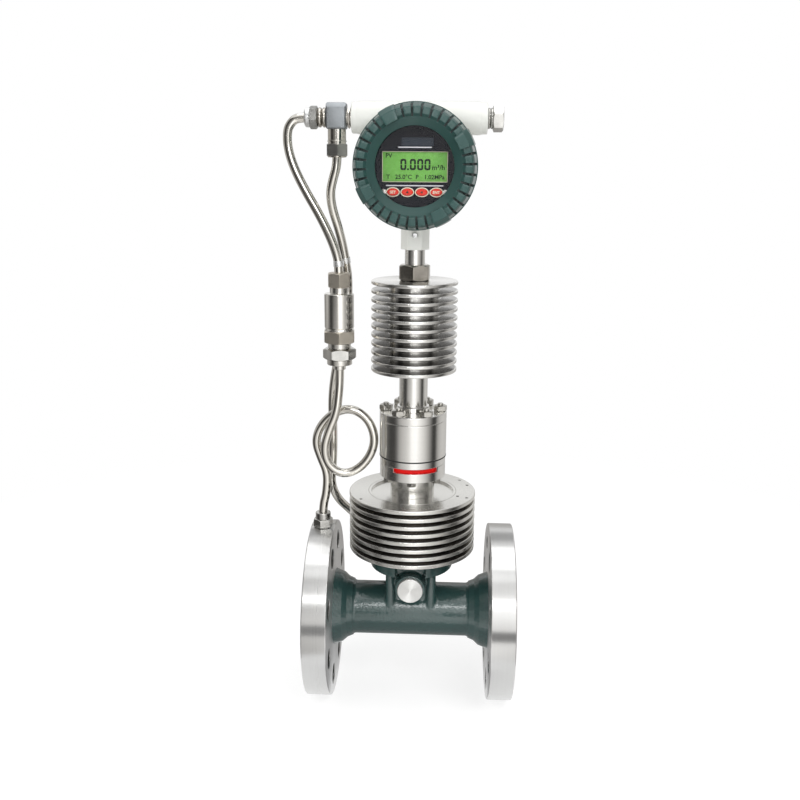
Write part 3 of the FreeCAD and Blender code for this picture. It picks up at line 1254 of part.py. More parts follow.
def make_temperature_probe():
    """Temperature pocket in the rear boss, and the nut that holds its conduit."""
    well_out = size.boss_reach + size.well_hex
    tip = size.well_tip / 2
    shank = size.boss_socket / 2 - size.fit
    seat_in = size.boss_reach - size.boss_socket_depth + size.fit
    well_stem = turned("well_stem", [
        (0, size.well_reach), (tip, size.well_reach), (tip, seat_in), (shank, seat_in),
        (shank, size.boss_reach + size.fit), (0, size.boss_reach + size.fit)],
        neck_x, 0, size.boss_height, WELL)
    well_head = hexed("well_head", hex_profile(size.well_flats, Length(0), size.boss_reach, well_out),
                      size.well_flats, neck_x, 0, size.boss_height, WELL)
    keep("temperature_probe", fuse("temperature_probe", well_stem, well_head))
    tube_hole = size.tube_diameter + size.fit * 2
    keep("probe_nut", hexed("probe_nut", hex_profile(
        size.gland_flats, tube_hole, well_out, well_out + size.well_nut), size.gland_flats,
        neck_x, 0, size.boss_height, WELL))


make_meter_body()
inlet_face = -size.raised_face_height
outlet_face = size.face_length + size.raised_face_height
make_flange("inlet_flange", inlet_face, RIGHT, True)
make_flange("outlet_flange", outlet_face, LEFT, False)
drill_meter_body()
make_measuring_pieces()
make_neck()
make_head_housing()
make_covers()
make_display()
make_terminals()
make_pressure_line(make_entries())
make_temperature_probe()
doc.recompute()

failed = [thing.Name for thing in doc.Objects if "Invalid" in thing.State or "Error" in thing.State]
if failed:
    raise RuntimeError(f"objects that did not build: {failed}")
for name, thing in nodes.items():
    if thing.Shape.isNull() or not thing.Shape.isValid():
        raise RuntimeError(f"{name} has no valid shape")

os.makedirs("parts", exist_ok=True)
for name, thing in nodes.items():
    thing.Shape.exportStep(f"parts/{name}.step")
print(f"{len(nodes)} nodes written")
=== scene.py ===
# %% [markdown]
# # A flanged steam meter with a finned neck
#
# The meter is a casting between two bolted flanges. A finned neck keeps the heat of the pipe away
# from the display head, and a pressure transmitter hangs on a coiled siphon beside it. The packed
# model gives every solid at its place. This lesson gives each of them the finish and the small forms
# that a person sees from a step away: broken edges, fins, grip blocks, threads, print, turned marks.

# %% Load the solids
import itertools
import json
import math

import bmesh
import bpy
from mathutils import Matrix, Vector


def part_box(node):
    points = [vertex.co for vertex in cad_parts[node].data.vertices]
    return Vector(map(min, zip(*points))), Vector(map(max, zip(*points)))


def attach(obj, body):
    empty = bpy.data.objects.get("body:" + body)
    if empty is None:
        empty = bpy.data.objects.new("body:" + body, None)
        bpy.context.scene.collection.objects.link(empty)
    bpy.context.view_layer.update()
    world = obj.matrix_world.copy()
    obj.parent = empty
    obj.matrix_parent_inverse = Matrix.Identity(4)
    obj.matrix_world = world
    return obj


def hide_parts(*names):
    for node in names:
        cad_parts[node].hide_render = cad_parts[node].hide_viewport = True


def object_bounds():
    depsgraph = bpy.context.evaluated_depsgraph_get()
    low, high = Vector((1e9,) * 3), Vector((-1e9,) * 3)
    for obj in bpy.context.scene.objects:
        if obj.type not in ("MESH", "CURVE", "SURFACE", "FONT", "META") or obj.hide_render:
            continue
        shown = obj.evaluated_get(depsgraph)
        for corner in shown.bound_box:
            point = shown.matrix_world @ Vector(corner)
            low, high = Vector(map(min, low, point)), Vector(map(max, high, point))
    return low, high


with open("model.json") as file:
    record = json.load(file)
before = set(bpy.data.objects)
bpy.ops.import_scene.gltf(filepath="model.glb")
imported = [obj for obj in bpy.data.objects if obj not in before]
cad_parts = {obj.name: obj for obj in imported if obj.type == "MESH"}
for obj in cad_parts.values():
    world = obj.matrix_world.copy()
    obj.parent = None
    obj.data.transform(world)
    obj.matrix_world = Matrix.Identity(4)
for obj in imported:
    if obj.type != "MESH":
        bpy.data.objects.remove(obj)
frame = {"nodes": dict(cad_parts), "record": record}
solid_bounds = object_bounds()

# %% [markdown]
# Meshes are drawn in millimetres, as a maker's drawing is, and turned into metres when they are put
# in the scene. The places come from the solids' own boxes, so a changed solid takes its looks along.

# %% Measures read from the solids
MM = 0.001
record = frame["record"]
body_of = {node: body for body, nodes in record["behaviour"]["bodies"].items() for node in nodes}


class Place:
    """A solid's box in millimetres: its corners, its middle, its size and its half width."""

    def __init__(self, node):
        self.low, self.high = (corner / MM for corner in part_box(node))
        self.middle = (self.low + self.high) / 2
        self.size = self.high - self.low
        self.radius = self.size.x / 2


NECK_X = Place("sensor_chamber").middle.x
HEAD_Z = Place("front_cover").middle.z
LINE_X = Place("pressure_transmitter").middle.x
ARM_Z = Place("side_gland_nut").middle.z
print("neck axis", round(NECK_X, 2), "head axis", round(HEAD_Z, 2), "transmitter axis", round(LINE_X, 2))

# %% [markdown]
# The camera stands a little above the display and looks down at the pipe. Its place, turn and lens
# were worked out from round edges in the photograph whose real sizes are known.

# %% Camera
CAMERA_PLACE = (0.11807, -0.82076, 0.41149)
CAMERA_TURN = 0.042854
CAMERA_DIP = 0.245308
CAMERA_ROLL = 0.007974
CAMERA_LENS = 41.85
SENSOR_WIDTH = 36


def put(name, data, matrix=Matrix.Identity(4)):
    """A new object in the scene, at the origin or where its matrix says."""
    made = bpy.data.objects.new(name, data)
    made.matrix_world = matrix
    bpy.context.scene.collection.objects.link(made)
    return made


camera_data = bpy.data.cameras.new("camera")
camera_data.sensor_width = SENSOR_WIDTH
camera_data.lens = CAMERA_LENS
camera_stand = (
    Matrix.Translation(CAMERA_PLACE)
    @ Matrix.Rotation(CAMERA_TURN, 4, "Z")
    @ Matrix.Rotation(math.pi / 2 - CAMERA_DIP, 4, "X")
    @ Matrix.Rotation(CAMERA_ROLL, 4, "Z"))
bpy.context.scene.camera = put("camera", camera_data, camera_stand)
bpy.context.scene.view_settings.view_transform = "Standard"
print("camera", CAMERA_PLACE, "lens", CAMERA_LENS)

# %% [markdown]
# A finish is a small tree of nodes. A few helpers keep those trees short. They add a node and set or join
# its sockets, and they put two numbers, two vectors or two colours together.

# %% Node helpers
NUMBER = 1


def join(tree, socket, value):
    """Set a socket to a value, or join it to another socket."""
    if isinstance(value, bpy.types.NodeSocket):
        tree.links.new(value, socket)
    else:
        socket.default_value = value


def new_node(tree, kind, inputs=None, **settings):
    """A node with its settings and inputs; gives its outputs."""
    made = tree.nodes.new(kind)
    for name, value in settings.items():
        setattr(made, name, value)
    for name, value in (inputs or {}).items():
        join(tree, made.inputs[name], value)
    return made.outputs


def add(tree, kind, inputs=None, **settings):
    """A node that shaders use, by the short form of its kind."""
    return new_node(tree, "ShaderNode" + kind, inputs, **settings)


def calc(tree, operation, first, second):
    """Two numbers put together."""
    return add(tree, "Math", {0: first, 1: second}, operation=operation)[0]


def vector_calc(tree, operation, *vectors, result=0):
    """Vectors put together into a vector, or into a NUMBER."""
    return add(tree, "VectorMath", dict(enumerate(vectors)), operation=operation)[result]


def blend_tones(tree, share, first, second):
    """One colour going over into another; sockets 6 and 7 of a mix are its colours."""
    return add(tree, "Mix", {0: share, 6: first, 7: second}, data_type="RGBA")[2]


def grain(tree, scale, detail=3.0, along=None):
    """Noise from 0 to 1 over the piece, or over the vector that is given."""
    where = along or add(tree, "TexCoord")["Object"]
    return add(tree, "TexNoise", {"Vector": where, "Scale": scale, "Detail": detail})["Fac"]


def spread(tree, value, low, high, start=0.3, end=0.7):
    """A noise value taken to the range from low to high."""
    return add(tree, "MapRange", {"Value": value, "From Min": start, "From Max": end,
                                  "To Min": low, "To Max": high})["Result"]


print("a length or a dot product is output", NUMBER, "of its node")

# %% [markdown]
# A finish starts from a colour as the eye reads it, from 0 to 255. No real surface is even, so most finishes
# darken a little in clouds, change their gloss from speck to speck and have a fine bump.

# %% Finish helpers
WHITE = (1, 1, 1, 1)


def tint(red, green, blue):
    """A colour from 0 to 255 as the linear colour that shaders use."""
    shares = [value / 255 for value in (red, green, blue)]
    linear = [s / 12.92 if s <= 0.04045 else ((s + 0.055) / 1.055) ** 2.4 for s in shares]
    return (*linear, 1.0)


def grey(value):
    """A grey as a shader's colour."""
    return (value, value, value, 1)


def darker(colour, share):
    """The colour with a share of its light taken away."""
    return tuple(value * (1 - share) for value in colour[:3]) + (1,)


def feed(tree, shader, **sockets):
    """Set or join a shader's sockets, which are named by their words in lower case."""
    for words, value in sockets.items():
        name = words.replace("_", " ").title().replace("Ior", "IOR")
        join(tree, shader.inputs[name], value)


def new_finish(name, colour, **sockets):
    """A finish with its plain values set; gives it with its tree and shader."""
    finish = bpy.data.materials.new(name)
    finish.use_nodes = True
    tree = finish.node_tree
    shader = tree.nodes["Principled BSDF"]
    feed(tree, shader, base_color=colour, **sockets)
    return finish, tree, shader


def mottle(tree, shader, colour, change, clouds, rough, specks, swing=(0.8, 1.25)):
    """Colour that darkens in clouds, and a gloss that changes from speck to speck."""
    tones = blend_tones(tree, spread(tree, clouds, 0, 1), darker(colour, change), colour)
    gloss = spread(tree, specks, rough * swing[0], rough * swing[1])
    feed(tree, shader, base_color=tones, roughness=gloss)


def roughen(tree, shader, height, depth, strength=1.0):
    """Bump of that depth in millimetres."""
    raised = add(tree, "Bump", {"Height": height, "Distance": depth * MM, "Strength": strength})
    feed(tree, shader, normal=raised["Normal"])


print("half grey to the eye is", round(tint(128, 128, 128)[0], 3), "of full light")

# %% [markdown]
# The stage is a pale floor in a white room. The room is white to the eye and in reflections, and it
# lights the object only softly.

# %% Room
ROOM_LIGHT = 0.50


def seen_directly(tree):
    """One for rays that the eye sees, straight, mirrored or through glass, and zero for others."""
    path = add(tree, "LightPath")
    either = calc(tree, "MAXIMUM", path["Is Camera Ray"], path["Is Glossy Ray"])
    return calc(tree, "MAXIMUM", either, path["Is Transmission Ray"])


def mixed_surface(tree, output, share, first, second):
    """One shader going over into another, as the tree's surface."""
    either = add(tree, "MixShader", {0: share, 1: first, 2: second})[0]
    join(tree, tree.nodes[output].inputs["Surface"], either)


room = bpy.data.worlds.new("white room")
bpy.context.scene.world = room
room.use_nodes = True
room_tree = room.node_tree
soft_room = room_tree.nodes["Background"]
soft_room.inputs["Color"].default_value = WHITE
soft_room.inputs["Strength"].default_value = ROOM_LIGHT
white_room = add(room_tree, "Background", {"Color": WHITE, "Strength": 1.0})[0]
mixed_surface(room_tree, "World Output", seen_directly(room_tree), soft_room.outputs[0], white_room)
print("room light", ROOM_LIGHT)

# %% [markdown]
# The floor catches the soft shadow. Far from the meter it goes over into the white of the room, so that no
# horizon shows. Its light on the object is that of a paler floor than the eye sees.

# %% Floor
FLOOR_GLOW = 0.72
FLOOR_TINT = 0.42
FLOOR_BOUNCE = 0.85
FLOOR_NEAR = 0.25
FLOOR_FAR = 0.80
FLOOR_SIZE = 8.0
floor_z = solid_bounds[0].z


def on_stage(name, corners, faces, finish, matrix, mirrored_only=True):
    """A sheet of the stage; most sheets are there only for what shines."""
    sheet_mesh = bpy.data.meshes.new(name)
    sheet_mesh.from_pydata(corners, [], faces)
    sheet_mesh.materials.append(finish)
    sheet = put(name, sheet_mesh, matrix)
    if mirrored_only:
        for kind in ("camera", "diffuse", "transmission", "shadow"):
            setattr(sheet, "visible_" + kind, False)
    return sheet


def flat_sheet(name, width, height, matrix, finish, mirrored_only=True):
    """A rectangle of the stage."""
    w, h = width / 2, height / 2
    corners = [(-w, -h, 0), (w, -h, 0), (w, h, 0), (-w, h, 0)]
    return on_stage(name, corners, [(0, 1, 2, 3)], finish, matrix, mirrored_only)


floor_finish, floor_tree, floor_shader = new_finish(
    "pale floor", grey(FLOOR_TINT), roughness=0.9, specular_ior_level=0.0, emission_color=WHITE)
floor_seen = seen_directly(floor_tree)
floor_tone = blend_tones(floor_tree, floor_seen, grey(FLOOR_BOUNCE), grey(FLOOR_TINT))
floor_glow = calc(floor_tree, "MULTIPLY", floor_seen, FLOOR_GLOW)
feed(floor_tree, floor_shader, base_color=floor_tone, emission_strength=floor_glow)
away = vector_calc(floor_tree, "LENGTH", add(floor_tree, "TexCoord")["Object"], result=NUMBER)
far_share = spread(floor_tree, away, 0.0, 1.0, FLOOR_NEAR, FLOOR_FAR)
far_white = add(floor_tree, "Emission", {"Color": WHITE, "Strength": 1.0})[0]
far_seen = calc(floor_tree, "MULTIPLY", far_share, floor_seen)
mixed_surface(floor_tree, "Material Output", far_seen, floor_shader.outputs[0], far_white)
floor_place = Matrix.Translation((NECK_X * MM, 0, floor_z))
flat_sheet("floor", FLOOR_SIZE, FLOOR_SIZE, floor_place, floor_finish, mirrored_only=False)
print("floor at", round(floor_z, 4))

# %% [markdown]
# Bright steel in a white room has nothing dark to mirror, and looks like plaster. A photographer sets up a
# tent of cards, with light and dark strips side by side. This tent is a bowl round the meter. Its tone goes
# by the bearing from the front: bright before the meter, dark at both sides, grey behind. Higher up the
# bright part is narrower, which gives the tubes and the upper fins their crisp stripes.

# %% Tones of the tent
TENT_BRIGHT = 2.0
LOW_TONES = [
    (-180, 0.42), (-145, 0.58), (-122, 0.48), (-106, 0.30), (-94, 0.12), (-78, 0.06), (-62, 0.07),
    (-53, 0.20), (-44, 0.50), (-34, 0.66), (-22, 0.80), (-11, 1.0), (-3, 1.35), (12, 1.45), (25, 1.15),
    (40, 0.85), (54, 0.50), (64, 0.24), (72, 0.06), (83, 0.06), (92, 0.40), (102, 0.62), (120, 0.74),
    (145, 0.66), (180, 0.42)]
HIGH_TONES = [
    (-180, 0.70), (-150, 0.50), (-131, 0.22), (-112, 0.50), (-96, 0.66), (-80, 0.30), (-68, 0.04),
    (-52, 0.04), (-40, 0.16), (-26, 0.26), (-13, 0.42), (-5, 1.60), (6, 2.0), (20, 1.90), (30, 0.95),
    (42, 0.62), (58, 0.48), (70, 0.24), (84, 0.10), (96, 0.30), (108, 0.62), (130, 0.45), (150, 0.50),
    (180, 0.70)]
TURNOVER = (0.16, 0.30)
GREEN_LOSS = 0.03
BLUE_LOSS = 0.07


def glowing(name, tone):
    """A card that shows one tone in reflections; gives its tree and shader too."""
    finish = bpy.data.materials.new(name)
    finish.use_nodes = True
    tree = finish.node_tree
    tree.nodes.remove(tree.nodes["Principled BSDF"])
    light = tree.nodes.new("ShaderNodeEmission")
    light.inputs["Strength"].default_value = tone
    join(tree, tree.nodes["Material Output"].inputs["Surface"], light.outputs[0])
    return finish, tree, light


tent_finish, tent_tree, tent_light = glowing("tent cards", TENT_BRIGHT)
place = add(tent_tree, "SeparateXYZ", {0: add(tent_tree, "TexCoord")["Object"]})
before = calc(tent_tree, "MULTIPLY", place["Y"], -1.0)
bearing = calc(tent_tree, "ARCTAN2", place["X"], before)
round_share = spread(tent_tree, bearing, 0, 1, -math.pi, math.pi)


def tone_ring(stops):
    """The tent's tones by their bearing; dark ones are a little warmer."""
    tones = tent_tree.nodes.new("ShaderNodeValToRGB")
    join(tent_tree, tones.inputs[0], round_share)
    while len(tones.color_ramp.elements) < len(stops):
        tones.color_ramp.elements.new(0.5)
    for stop, (degrees, tone) in zip(tones.color_ramp.elements, stops):
        stop.position = degrees / 360 + 0.5
        share = tone / TENT_BRIGHT
        loss = 1 - share
        stop.color = (share, share * (1 - GREEN_LOSS * loss), share * (1 - BLUE_LOSS * loss), 1)
    return tones.outputs[0]


high_share = spread(tent_tree, place["Z"], 0, 1, *TURNOVER)
tent_tones = blend_tones(tent_tree, high_share, tone_ring(LOW_TONES), tone_ring(HIGH_TONES))
join(tent_tree, tent_light.inputs["Color"], tent_tones)
print("tones", len(LOW_TONES), "below and", len(HIGH_TONES), "above")

# %% [markdown]
# The tent is open before the window and high up at the back, and it shows in reflections alone. Some more
# cards stand round it. The dark card for the window also shows to rays that come back out of the glass from
# its rear face.

# %% Tent and cards
TENT_PROFILE = [(0.20, 0.003), (0.45, 0.06), (0.62, 0.20), (0.66, 0.35), (0.66, 0.40), (0.66, 1.03)]
TENT_STEPS = 72
GLASS_GAP = 14
BACK_GAP = 130
tent_points = []
tent_faces = []
rows = len(TENT_PROFILE)
for step in range(TENT_STEPS):
    turn = 2 * math.pi * step / TENT_STEPS - math.pi
    tent_points += [(reach * math.sin(turn), -reach * math.cos(turn), height)
                    for reach, height in TENT_PROFILE]
    bearing_here = abs(360 * (step + 0.5) / TENT_STEPS - 180)
    for row in range(rows - 1):
        at_back = row >= rows - 3 and bearing_here > BACK_GAP
        at_glass = row == rows - 2 and bearing_here < GLASS_GAP
        if not at_back and not at_glass:
            near, far = step * rows + row, (step + 1) % TENT_STEPS * rows + row
            tent_faces.append((near, far, far + 1, near + 1))
on_stage("tent", tent_points, tent_faces, tent_finish, floor_place)

# Each card has a place, a lean in degrees, a width, a height and a tone.
CARDS = {
    "glass_card": ((0.05, -1.60, 0.41), 90, 0.24, 0.24, 0.02),
    "fin_box": ((0.13, -1.62, 0.62), 90, 0.80, 0.14, 2.6),
    "left_strip": ((0.012, -0.16, 0.006), 90, 0.11, 0.028, 0.28),
    "right_strip": ((0.178, -0.16, 0.003), 90, 0.11, 0.028, 0.22),
    "front_box": ((0.10, -0.85, 0.55), 58, 0.50, 0.11, 8.0),
    "top_box": ((0.10, -0.45, 1.02), 0, 0.50, 0.26, 1.9),
    "back_card": ((0.10, 0.62, 0.66), -45, 0.60, 0.34, 0.45),
    "under_card": ((0.095, 0.03, -0.0815), 0, 0.129, 0.30, 0.40),
}
for card_name, (where, lean, width, height, tone) in CARDS.items():
    stand = Matrix.Translation(where) @ Matrix.Rotation(math.radians(lean), 4, "X")
    flat_sheet(card_name, width, height, stand, glowing(card_name, tone)[0])
bpy.data.objects["glass_card"].visible_transmission = True
print("tent faces", len(tent_faces), "cards", len(CARDS))

# %% [markdown]
# Large soft lamps light the paint and cast the soft shadow on the floor. A weak one stands low, for what is
# under the head. It would show in the window, so it is kept out of reflections.

# %% Lamps
# Each lamp has a place, a power in watts and a size.
LAMPS = {
    "key_lamp": ((0.75, -1.15, 1.25), 9.6, 0.7),
    "fill_lamp": ((-0.95, -0.85, 0.95), 5.8, 0.9),
    "top_lamp": ((0.10, 0.15, 1.60), 5.8, 1.0),
    "low_lamp": ((0.15, -1.30, 0.12), 1.8, 0.8),
}
AIM = Vector((NECK_X * MM, 0, 0.22))
for lamp_name, (where, power, size) in LAMPS.items():
    lamp_data = bpy.data.lights.new(lamp_name, "AREA")
    lamp_data.energy = power
    lamp_data.size = size
    facing = (AIM - Vector(where)).to_track_quat("-Z", "Y")
    put(lamp_name, lamp_data, Matrix.Translation(where) @ facing.to_matrix().to_4x4())
bpy.data.objects["low_lamp"].visible_glossy = False
print("lamps", len(LAMPS))

# %% [markdown]
# Turned steel is the main finish. A cutting tool leaves fine rings round the axis of the lathe, so the
# noise is read over the distance from the axis and the place along it, never round it. The same
# rings stretch a highlight across them, which is what anisotropy does when its tangent runs round.

# %% Turned steel
AXES = {"X": (1, 0, 0), "Y": (0, 1, 0), "Z": (0, 0, 1)}
ACROSS_RINGS = 0.25
FINE_RINGS = 2600
BROAD_RINGS = 420
HANDLING = 30
RING_SHADE = 0.12
RING_GLOSS = 0.2
RING_DEPTH = 0.012


def lathe_marks(tree, axis, origin):
    """Where a point lies on a turned piece: a vector of radius and height, and the way round."""
    along = AXES[axis]
    across = tuple(1 - value for value in along)
    where = add(tree, "TexCoord")["Object"]
    offset = vector_calc(tree, "SUBTRACT", where, tuple(value * MM for value in origin))
    flat = vector_calc(tree, "MULTIPLY", offset, across)
    radius = vector_calc(tree, "LENGTH", flat, result=NUMBER)
    height = vector_calc(tree, "DOT_PRODUCT", offset, along, result=NUMBER)
    round_way = vector_calc(tree, "CROSS_PRODUCT", along, offset)
    return add(tree, "CombineXYZ", {"X": radius, "Y": height, "Z": 0.0})[0], round_way


def painted_groove_shade(tree, rings, bright, rim, fade, core, top, tone):
    """Painted shade: a sink's fin faces take a darker tone, away from the rims, the core and the top."""
    place = add(tree, "SeparateXYZ", {0: rings})
    near_rim = spread(tree, place["X"], 0, 1, (rim - fade) * MM, (rim - fade / 9) * MM)
    on_core = spread(tree, place["X"], 1, 0, (core + 0.3) * MM, (core + 0.8) * MM)
    on_top = spread(tree, place["Y"], 0, 1, (top - 0.6) * MM, (top - 0.3) * MM)
    unshaded_share = calc(tree, "MAXIMUM", calc(tree, "MAXIMUM", near_rim, on_top), on_core)
    return blend_tones(tree, unshaded_share, tone, bright)


def turned_steel(name, colour, axis, origin, rough, marks, streak, groove=None):
    """Steel from a lathe with tool rings about its axis; groove tells where a sink's fins get painted shade.
    """
    finish, tree, shader = new_finish(name, colour, metallic=1.0, anisotropic=streak,
                                      anisotropic_rotation=ACROSS_RINGS)
    rings, round_way = lathe_marks(tree, axis, origin)
    broad = grain(tree, BROAD_RINGS, 2.0, rings)
    both = calc(tree, "ADD", grain(tree, FINE_RINGS, 2.0, rings), broad)
    shade = spread(tree, calc(tree, "ADD", broad, grain(tree, HANDLING)), 0, 1, 0.7, 1.3)
    bright = blend_tones(tree, shade, darker(colour, RING_SHADE * marks), colour)
    if groove:
        bright = painted_groove_shade(tree, rings, bright, *groove)
    swing = RING_GLOSS * marks
    gloss = spread(tree, both, rough * (1 - swing), rough * (1 + swing), 0.7, 1.3)
    feed(tree, shader, base_color=bright, roughness=gloss, tangent=round_way)
    roughen(tree, shader, both, RING_DEPTH * marks, 0.5)
    return finish


print("turned steel has axes", *AXES)

# %% [markdown]
# Each turned piece has its own axis, and its own shine. The faces between the fins see little light, so
# shade is painted into their colour from a short way inside the rim.

# %% Turned finishes
NECK_AXIS = (NECK_X, 0, 0)
UPPER_CORE = 23
LOWER_CORE = 38
LOWER_RECESS = 2
plug = Place("tap_plug")
upper = Place("upper_heat_sink")
lower = Place("lower_heat_sink")
# Painted shade on the fin faces: each sink's rim, fade, core, top and darker tone.
upper_groove_shade = (upper.high.x - NECK_X, 1.8, UPPER_CORE, upper.high.z, tint(104, 102, 98))
lower_groove_shade = (lower.high.x - NECK_X, 9, LOWER_CORE, lower.high.z - LOWER_RECESS, tint(128, 119, 108))
flange_steel = turned_steel("turned flange steel", tint(208, 208, 207), "X", (0, 0, 0),
                            rough=0.30, marks=0.5, streak=0.8)
upper_steel = turned_steel("upper sink steel", tint(222, 221, 218), "Z", NECK_AXIS,
                           rough=0.20, marks=0.3, streak=0.7, groove=upper_groove_shade)
lower_steel = turned_steel("lower sink steel", tint(218, 217, 213), "Z", NECK_AXIS,
                           rough=0.24, marks=0.3, streak=0.7, groove=lower_groove_shade)
neck_steel = turned_steel("polished neck steel", tint(222, 221, 218), "Z", NECK_AXIS,
                          rough=0.18, marks=0.3, streak=0.6)
line_steel = turned_steel("transmitter steel", tint(216, 214, 209), "Z", (LINE_X, 0, 0),
                          rough=0.17, marks=0.2, streak=0.5)
plug_steel = turned_steel("faced plug steel", tint(222, 222, 220), "Y", (plug.middle.x, 0, plug.middle.z),
                          rough=0.36, marks=0.3, streak=0.92)
print("turned finishes made")

# %% [markdown]
# Drawn tube, plated nuts and blasted castings have no lathe rings. Tube is nearly a mirror with faint
# draw lines, plated hexagons are smooth with a handled look, and the tee is grey and even.

# %% Other bare metals


def plain_metal(name, colour, rough, scale, depth, change=0.25):
    """Metal with an even grain and a little change in its gloss."""
    finish, tree, shader = new_finish(name, colour, metallic=1.0)
    speckle = grain(tree, scale, 4.0)
    mottle(tree, shader, colour, change, grain(tree, scale / 18, 2.0), rough, speckle)
    if depth:
        roughen(tree, shader, speckle, depth, 0.6)
    return finish


tube_steel = plain_metal("drawn tube steel", tint(216, 213, 206), 0.08, 900, 0, 0.08)
nut_steel = plain_metal("plated nut steel", tint(202, 201, 197), 0.20, 1500, 0.005)
gland_zinc = plain_metal("dull gland zinc", tint(166, 166, 163), 0.34, 1500, 0.006)
# Painted shade for the walls of the bolt holes.
painted_hole_shade = plain_metal("painted shade in the bolt holes", tint(62, 60, 58), 0.5, 900, 0.02)
nose_zinc = plain_metal("bright nose zinc", tint(232, 233, 233), 0.36, 1500, 0.004, 0.06)
fitting_steel = plain_metal("brown fitting steel", tint(206, 201, 192), 0.15, 1500, 0.004)
tee_zinc = plain_metal("blasted tee zinc", tint(143, 147, 150), 0.46, 2400, 0.030, 0.10)
hex_steel = plain_metal("milled hexagon steel", tint(208, 201, 189), 0.38, 1500, 0.005, 0.10)
fastener_steel = plain_metal("fastener steel", tint(205, 203, 197), 0.25, 1800, 0.010)
terminal_brass = plain_metal("terminal brass", tint(205, 170, 92), 0.30, 1500, 0.010)
print("bare metals made")

# %% [markdown]
# The casting is painted dark green over sand-cast iron, so the gloss is broken by small pits and soft
# waves. The covers are smoother and lighter. The white housing is powder coated, which gives a fine
# even peel. One function makes all three from a colour, a peel and a gloss.

# %% Paints


def paint(name, colour, rough, peel, depth, waves, coat, change, gloss=0.5):
    """Sprayed paint with a peel, soft waves below it and a little change of colour."""
    finish, tree, shader = new_finish(name, colour, coat_weight=coat, coat_roughness=0.12,
                                      specular_ior_level=gloss)
    fine = grain(tree, peel, 2.0)
    wave = grain(tree, peel / 7, 2.0)
    mottle(tree, shader, colour, change, grain(tree, peel / 40), rough, wave)
    deep_wave = calc(tree, "MULTIPLY", wave, waves / depth)
    roughen(tree, shader, calc(tree, "ADD", fine, deep_wave), depth)
    return finish


body_paint = paint("cast body paint", tint(50, 78, 76), rough=0.17, peel=400, depth=0.26, waves=0.34,
                   coat=0.0, change=0.20, gloss=1.0)
cover_paint = paint("cover paint", tint(42, 77, 73), rough=0.40, peel=1100, depth=0.03, waves=0.05,
                    coat=0.20, change=0.12, gloss=0.35)
# Painted shade for the floor of the grip grooves, darker than the cover's paint.
groove_shade_paint = paint("painted shade in the grip grooves", tint(20, 38, 37), rough=0.60, peel=1100, depth=0.03,
                     waves=0.05, coat=0.0, change=0.12)
housing_paint = paint("housing powder coat", tint(236, 237, 231), rough=0.42, peel=1300, depth=0.03,
                      waves=0.04, coat=0.15, change=0.03)
print("paints made")

# %% [markdown]
# Small parts need rubber, moulded plastic, print and the lit display. Each still gets its own grain,
# because a flat colour looks like a drawing when the camera comes close.

# %% Rubber, plastic, print and glass


def moulded(name, colour, rough, scale=1600, depth=0.01, **sockets):
    """Rubber, plastic or print with a fine grain."""
    finish, tree, shader = new_finish(name, colour, **sockets)
    speckle = grain(tree, scale)
    mottle(tree, shader, colour, 0.12, speckle, rough, speckle, (0.85, 1.15))
    if depth:
        roughen(tree, shader, speckle, depth, 0.5)
    return finish


gasket_red = moulded("red gasket", tint(242, 8, 4), 0.45, specular_ior_level=0.2)
seal_rubber = moulded("black rubber", tint(24, 24, 25), 0.6)
panel_black = moulded("panel face", tint(13, 15, 27), 0.45, 2600, 0, specular_ior_level=0.0)
plate_blue = moulded("bare name plate", tint(42, 50, 62), 0.35, specular_ior_level=0.1)
print_white = moulded("white print", tint(226, 226, 232), 0.5)
# Cream print; the rings round the keys and the frame round the display also use it as painted highlight.
cream_print_and_highlight = moulded("cream print and painted highlight", tint(250, 236, 210), 0.5)
key_red = moulded("red key", tint(244, 44, 16), 0.45, 1600, 0, specular_ior_level=0.2)
display_ink = moulded("display ink", tint(8, 26, 10), 0.6, 1600, 0, specular_ior_level=0.1)
board_green = moulded("board lacquer", tint(24, 84, 52), 0.35)
terminal_plastic = moulded("terminal plastic", tint(52, 54, 56), 0.5)

DISPLAY_GLOW = 0.20
display_green, green_tree, green_shader = new_finish("lit display", tint(112, 186, 78), roughness=0.5,
                                                     emission_strength=DISPLAY_GLOW)
cell = grain(green_tree, 260, 2.0)
lit = blend_tones(green_tree, spread(green_tree, cell, 0, 1), tint(90, 160, 50), tint(106, 174, 66))
feed(green_tree, green_shader, base_color=lit, emission_color=lit)

window_glass = new_finish("window glass", WHITE, roughness=0.02, transmission_weight=1.0, ior=1.45)[0]
print("finishes:", len(bpy.data.materials))

# %% [markdown]
# Most of the meter was made on a lathe, so most pieces start as an outline of radius and height that is
# turned about an axis. Real edges are never sharp: a corner may carry a fillet, which becomes a short
# arc with a narrow strip beside it, so that the flat faces stay flat in the shading.

# %% Outlines and turned meshes
TURN_STEPS = 144
ARC_STEPS = 3
STRIP = 0.25
SHARP = math.radians(32)


def rounded(corners):
    """Corners (radius, height, fillet) as points, with an arc wherever a fillet is given."""
    points = []
    for index, corner in enumerate(corners):
        here = Vector(corner[:2])
        if len(corner) < 3:
            points.append(tuple(here))
            continue
        before = (Vector(corners[index - 1][:2]) - here).normalized()
        after = (Vector(corners[(index + 1) % len(corners)][:2]) - here).normalized()
        half = before.angle(after) / 2
        reach = corner[2] / math.tan(half)
        hub = here + (before + after).normalized() * corner[2] / math.sin(half)
        first = here + before * reach - hub
        last = here + after * reach - hub
        points.append(tuple(here + before * reach * (1 + STRIP)))
        for step in range(ARC_STEPS + 1):
            share = step / ARC_STEPS
            points.append(tuple(hub + first.slerp(last, share) * corner[2]))
        points.append(tuple(here + after * reach * (1 + STRIP)))
    return points


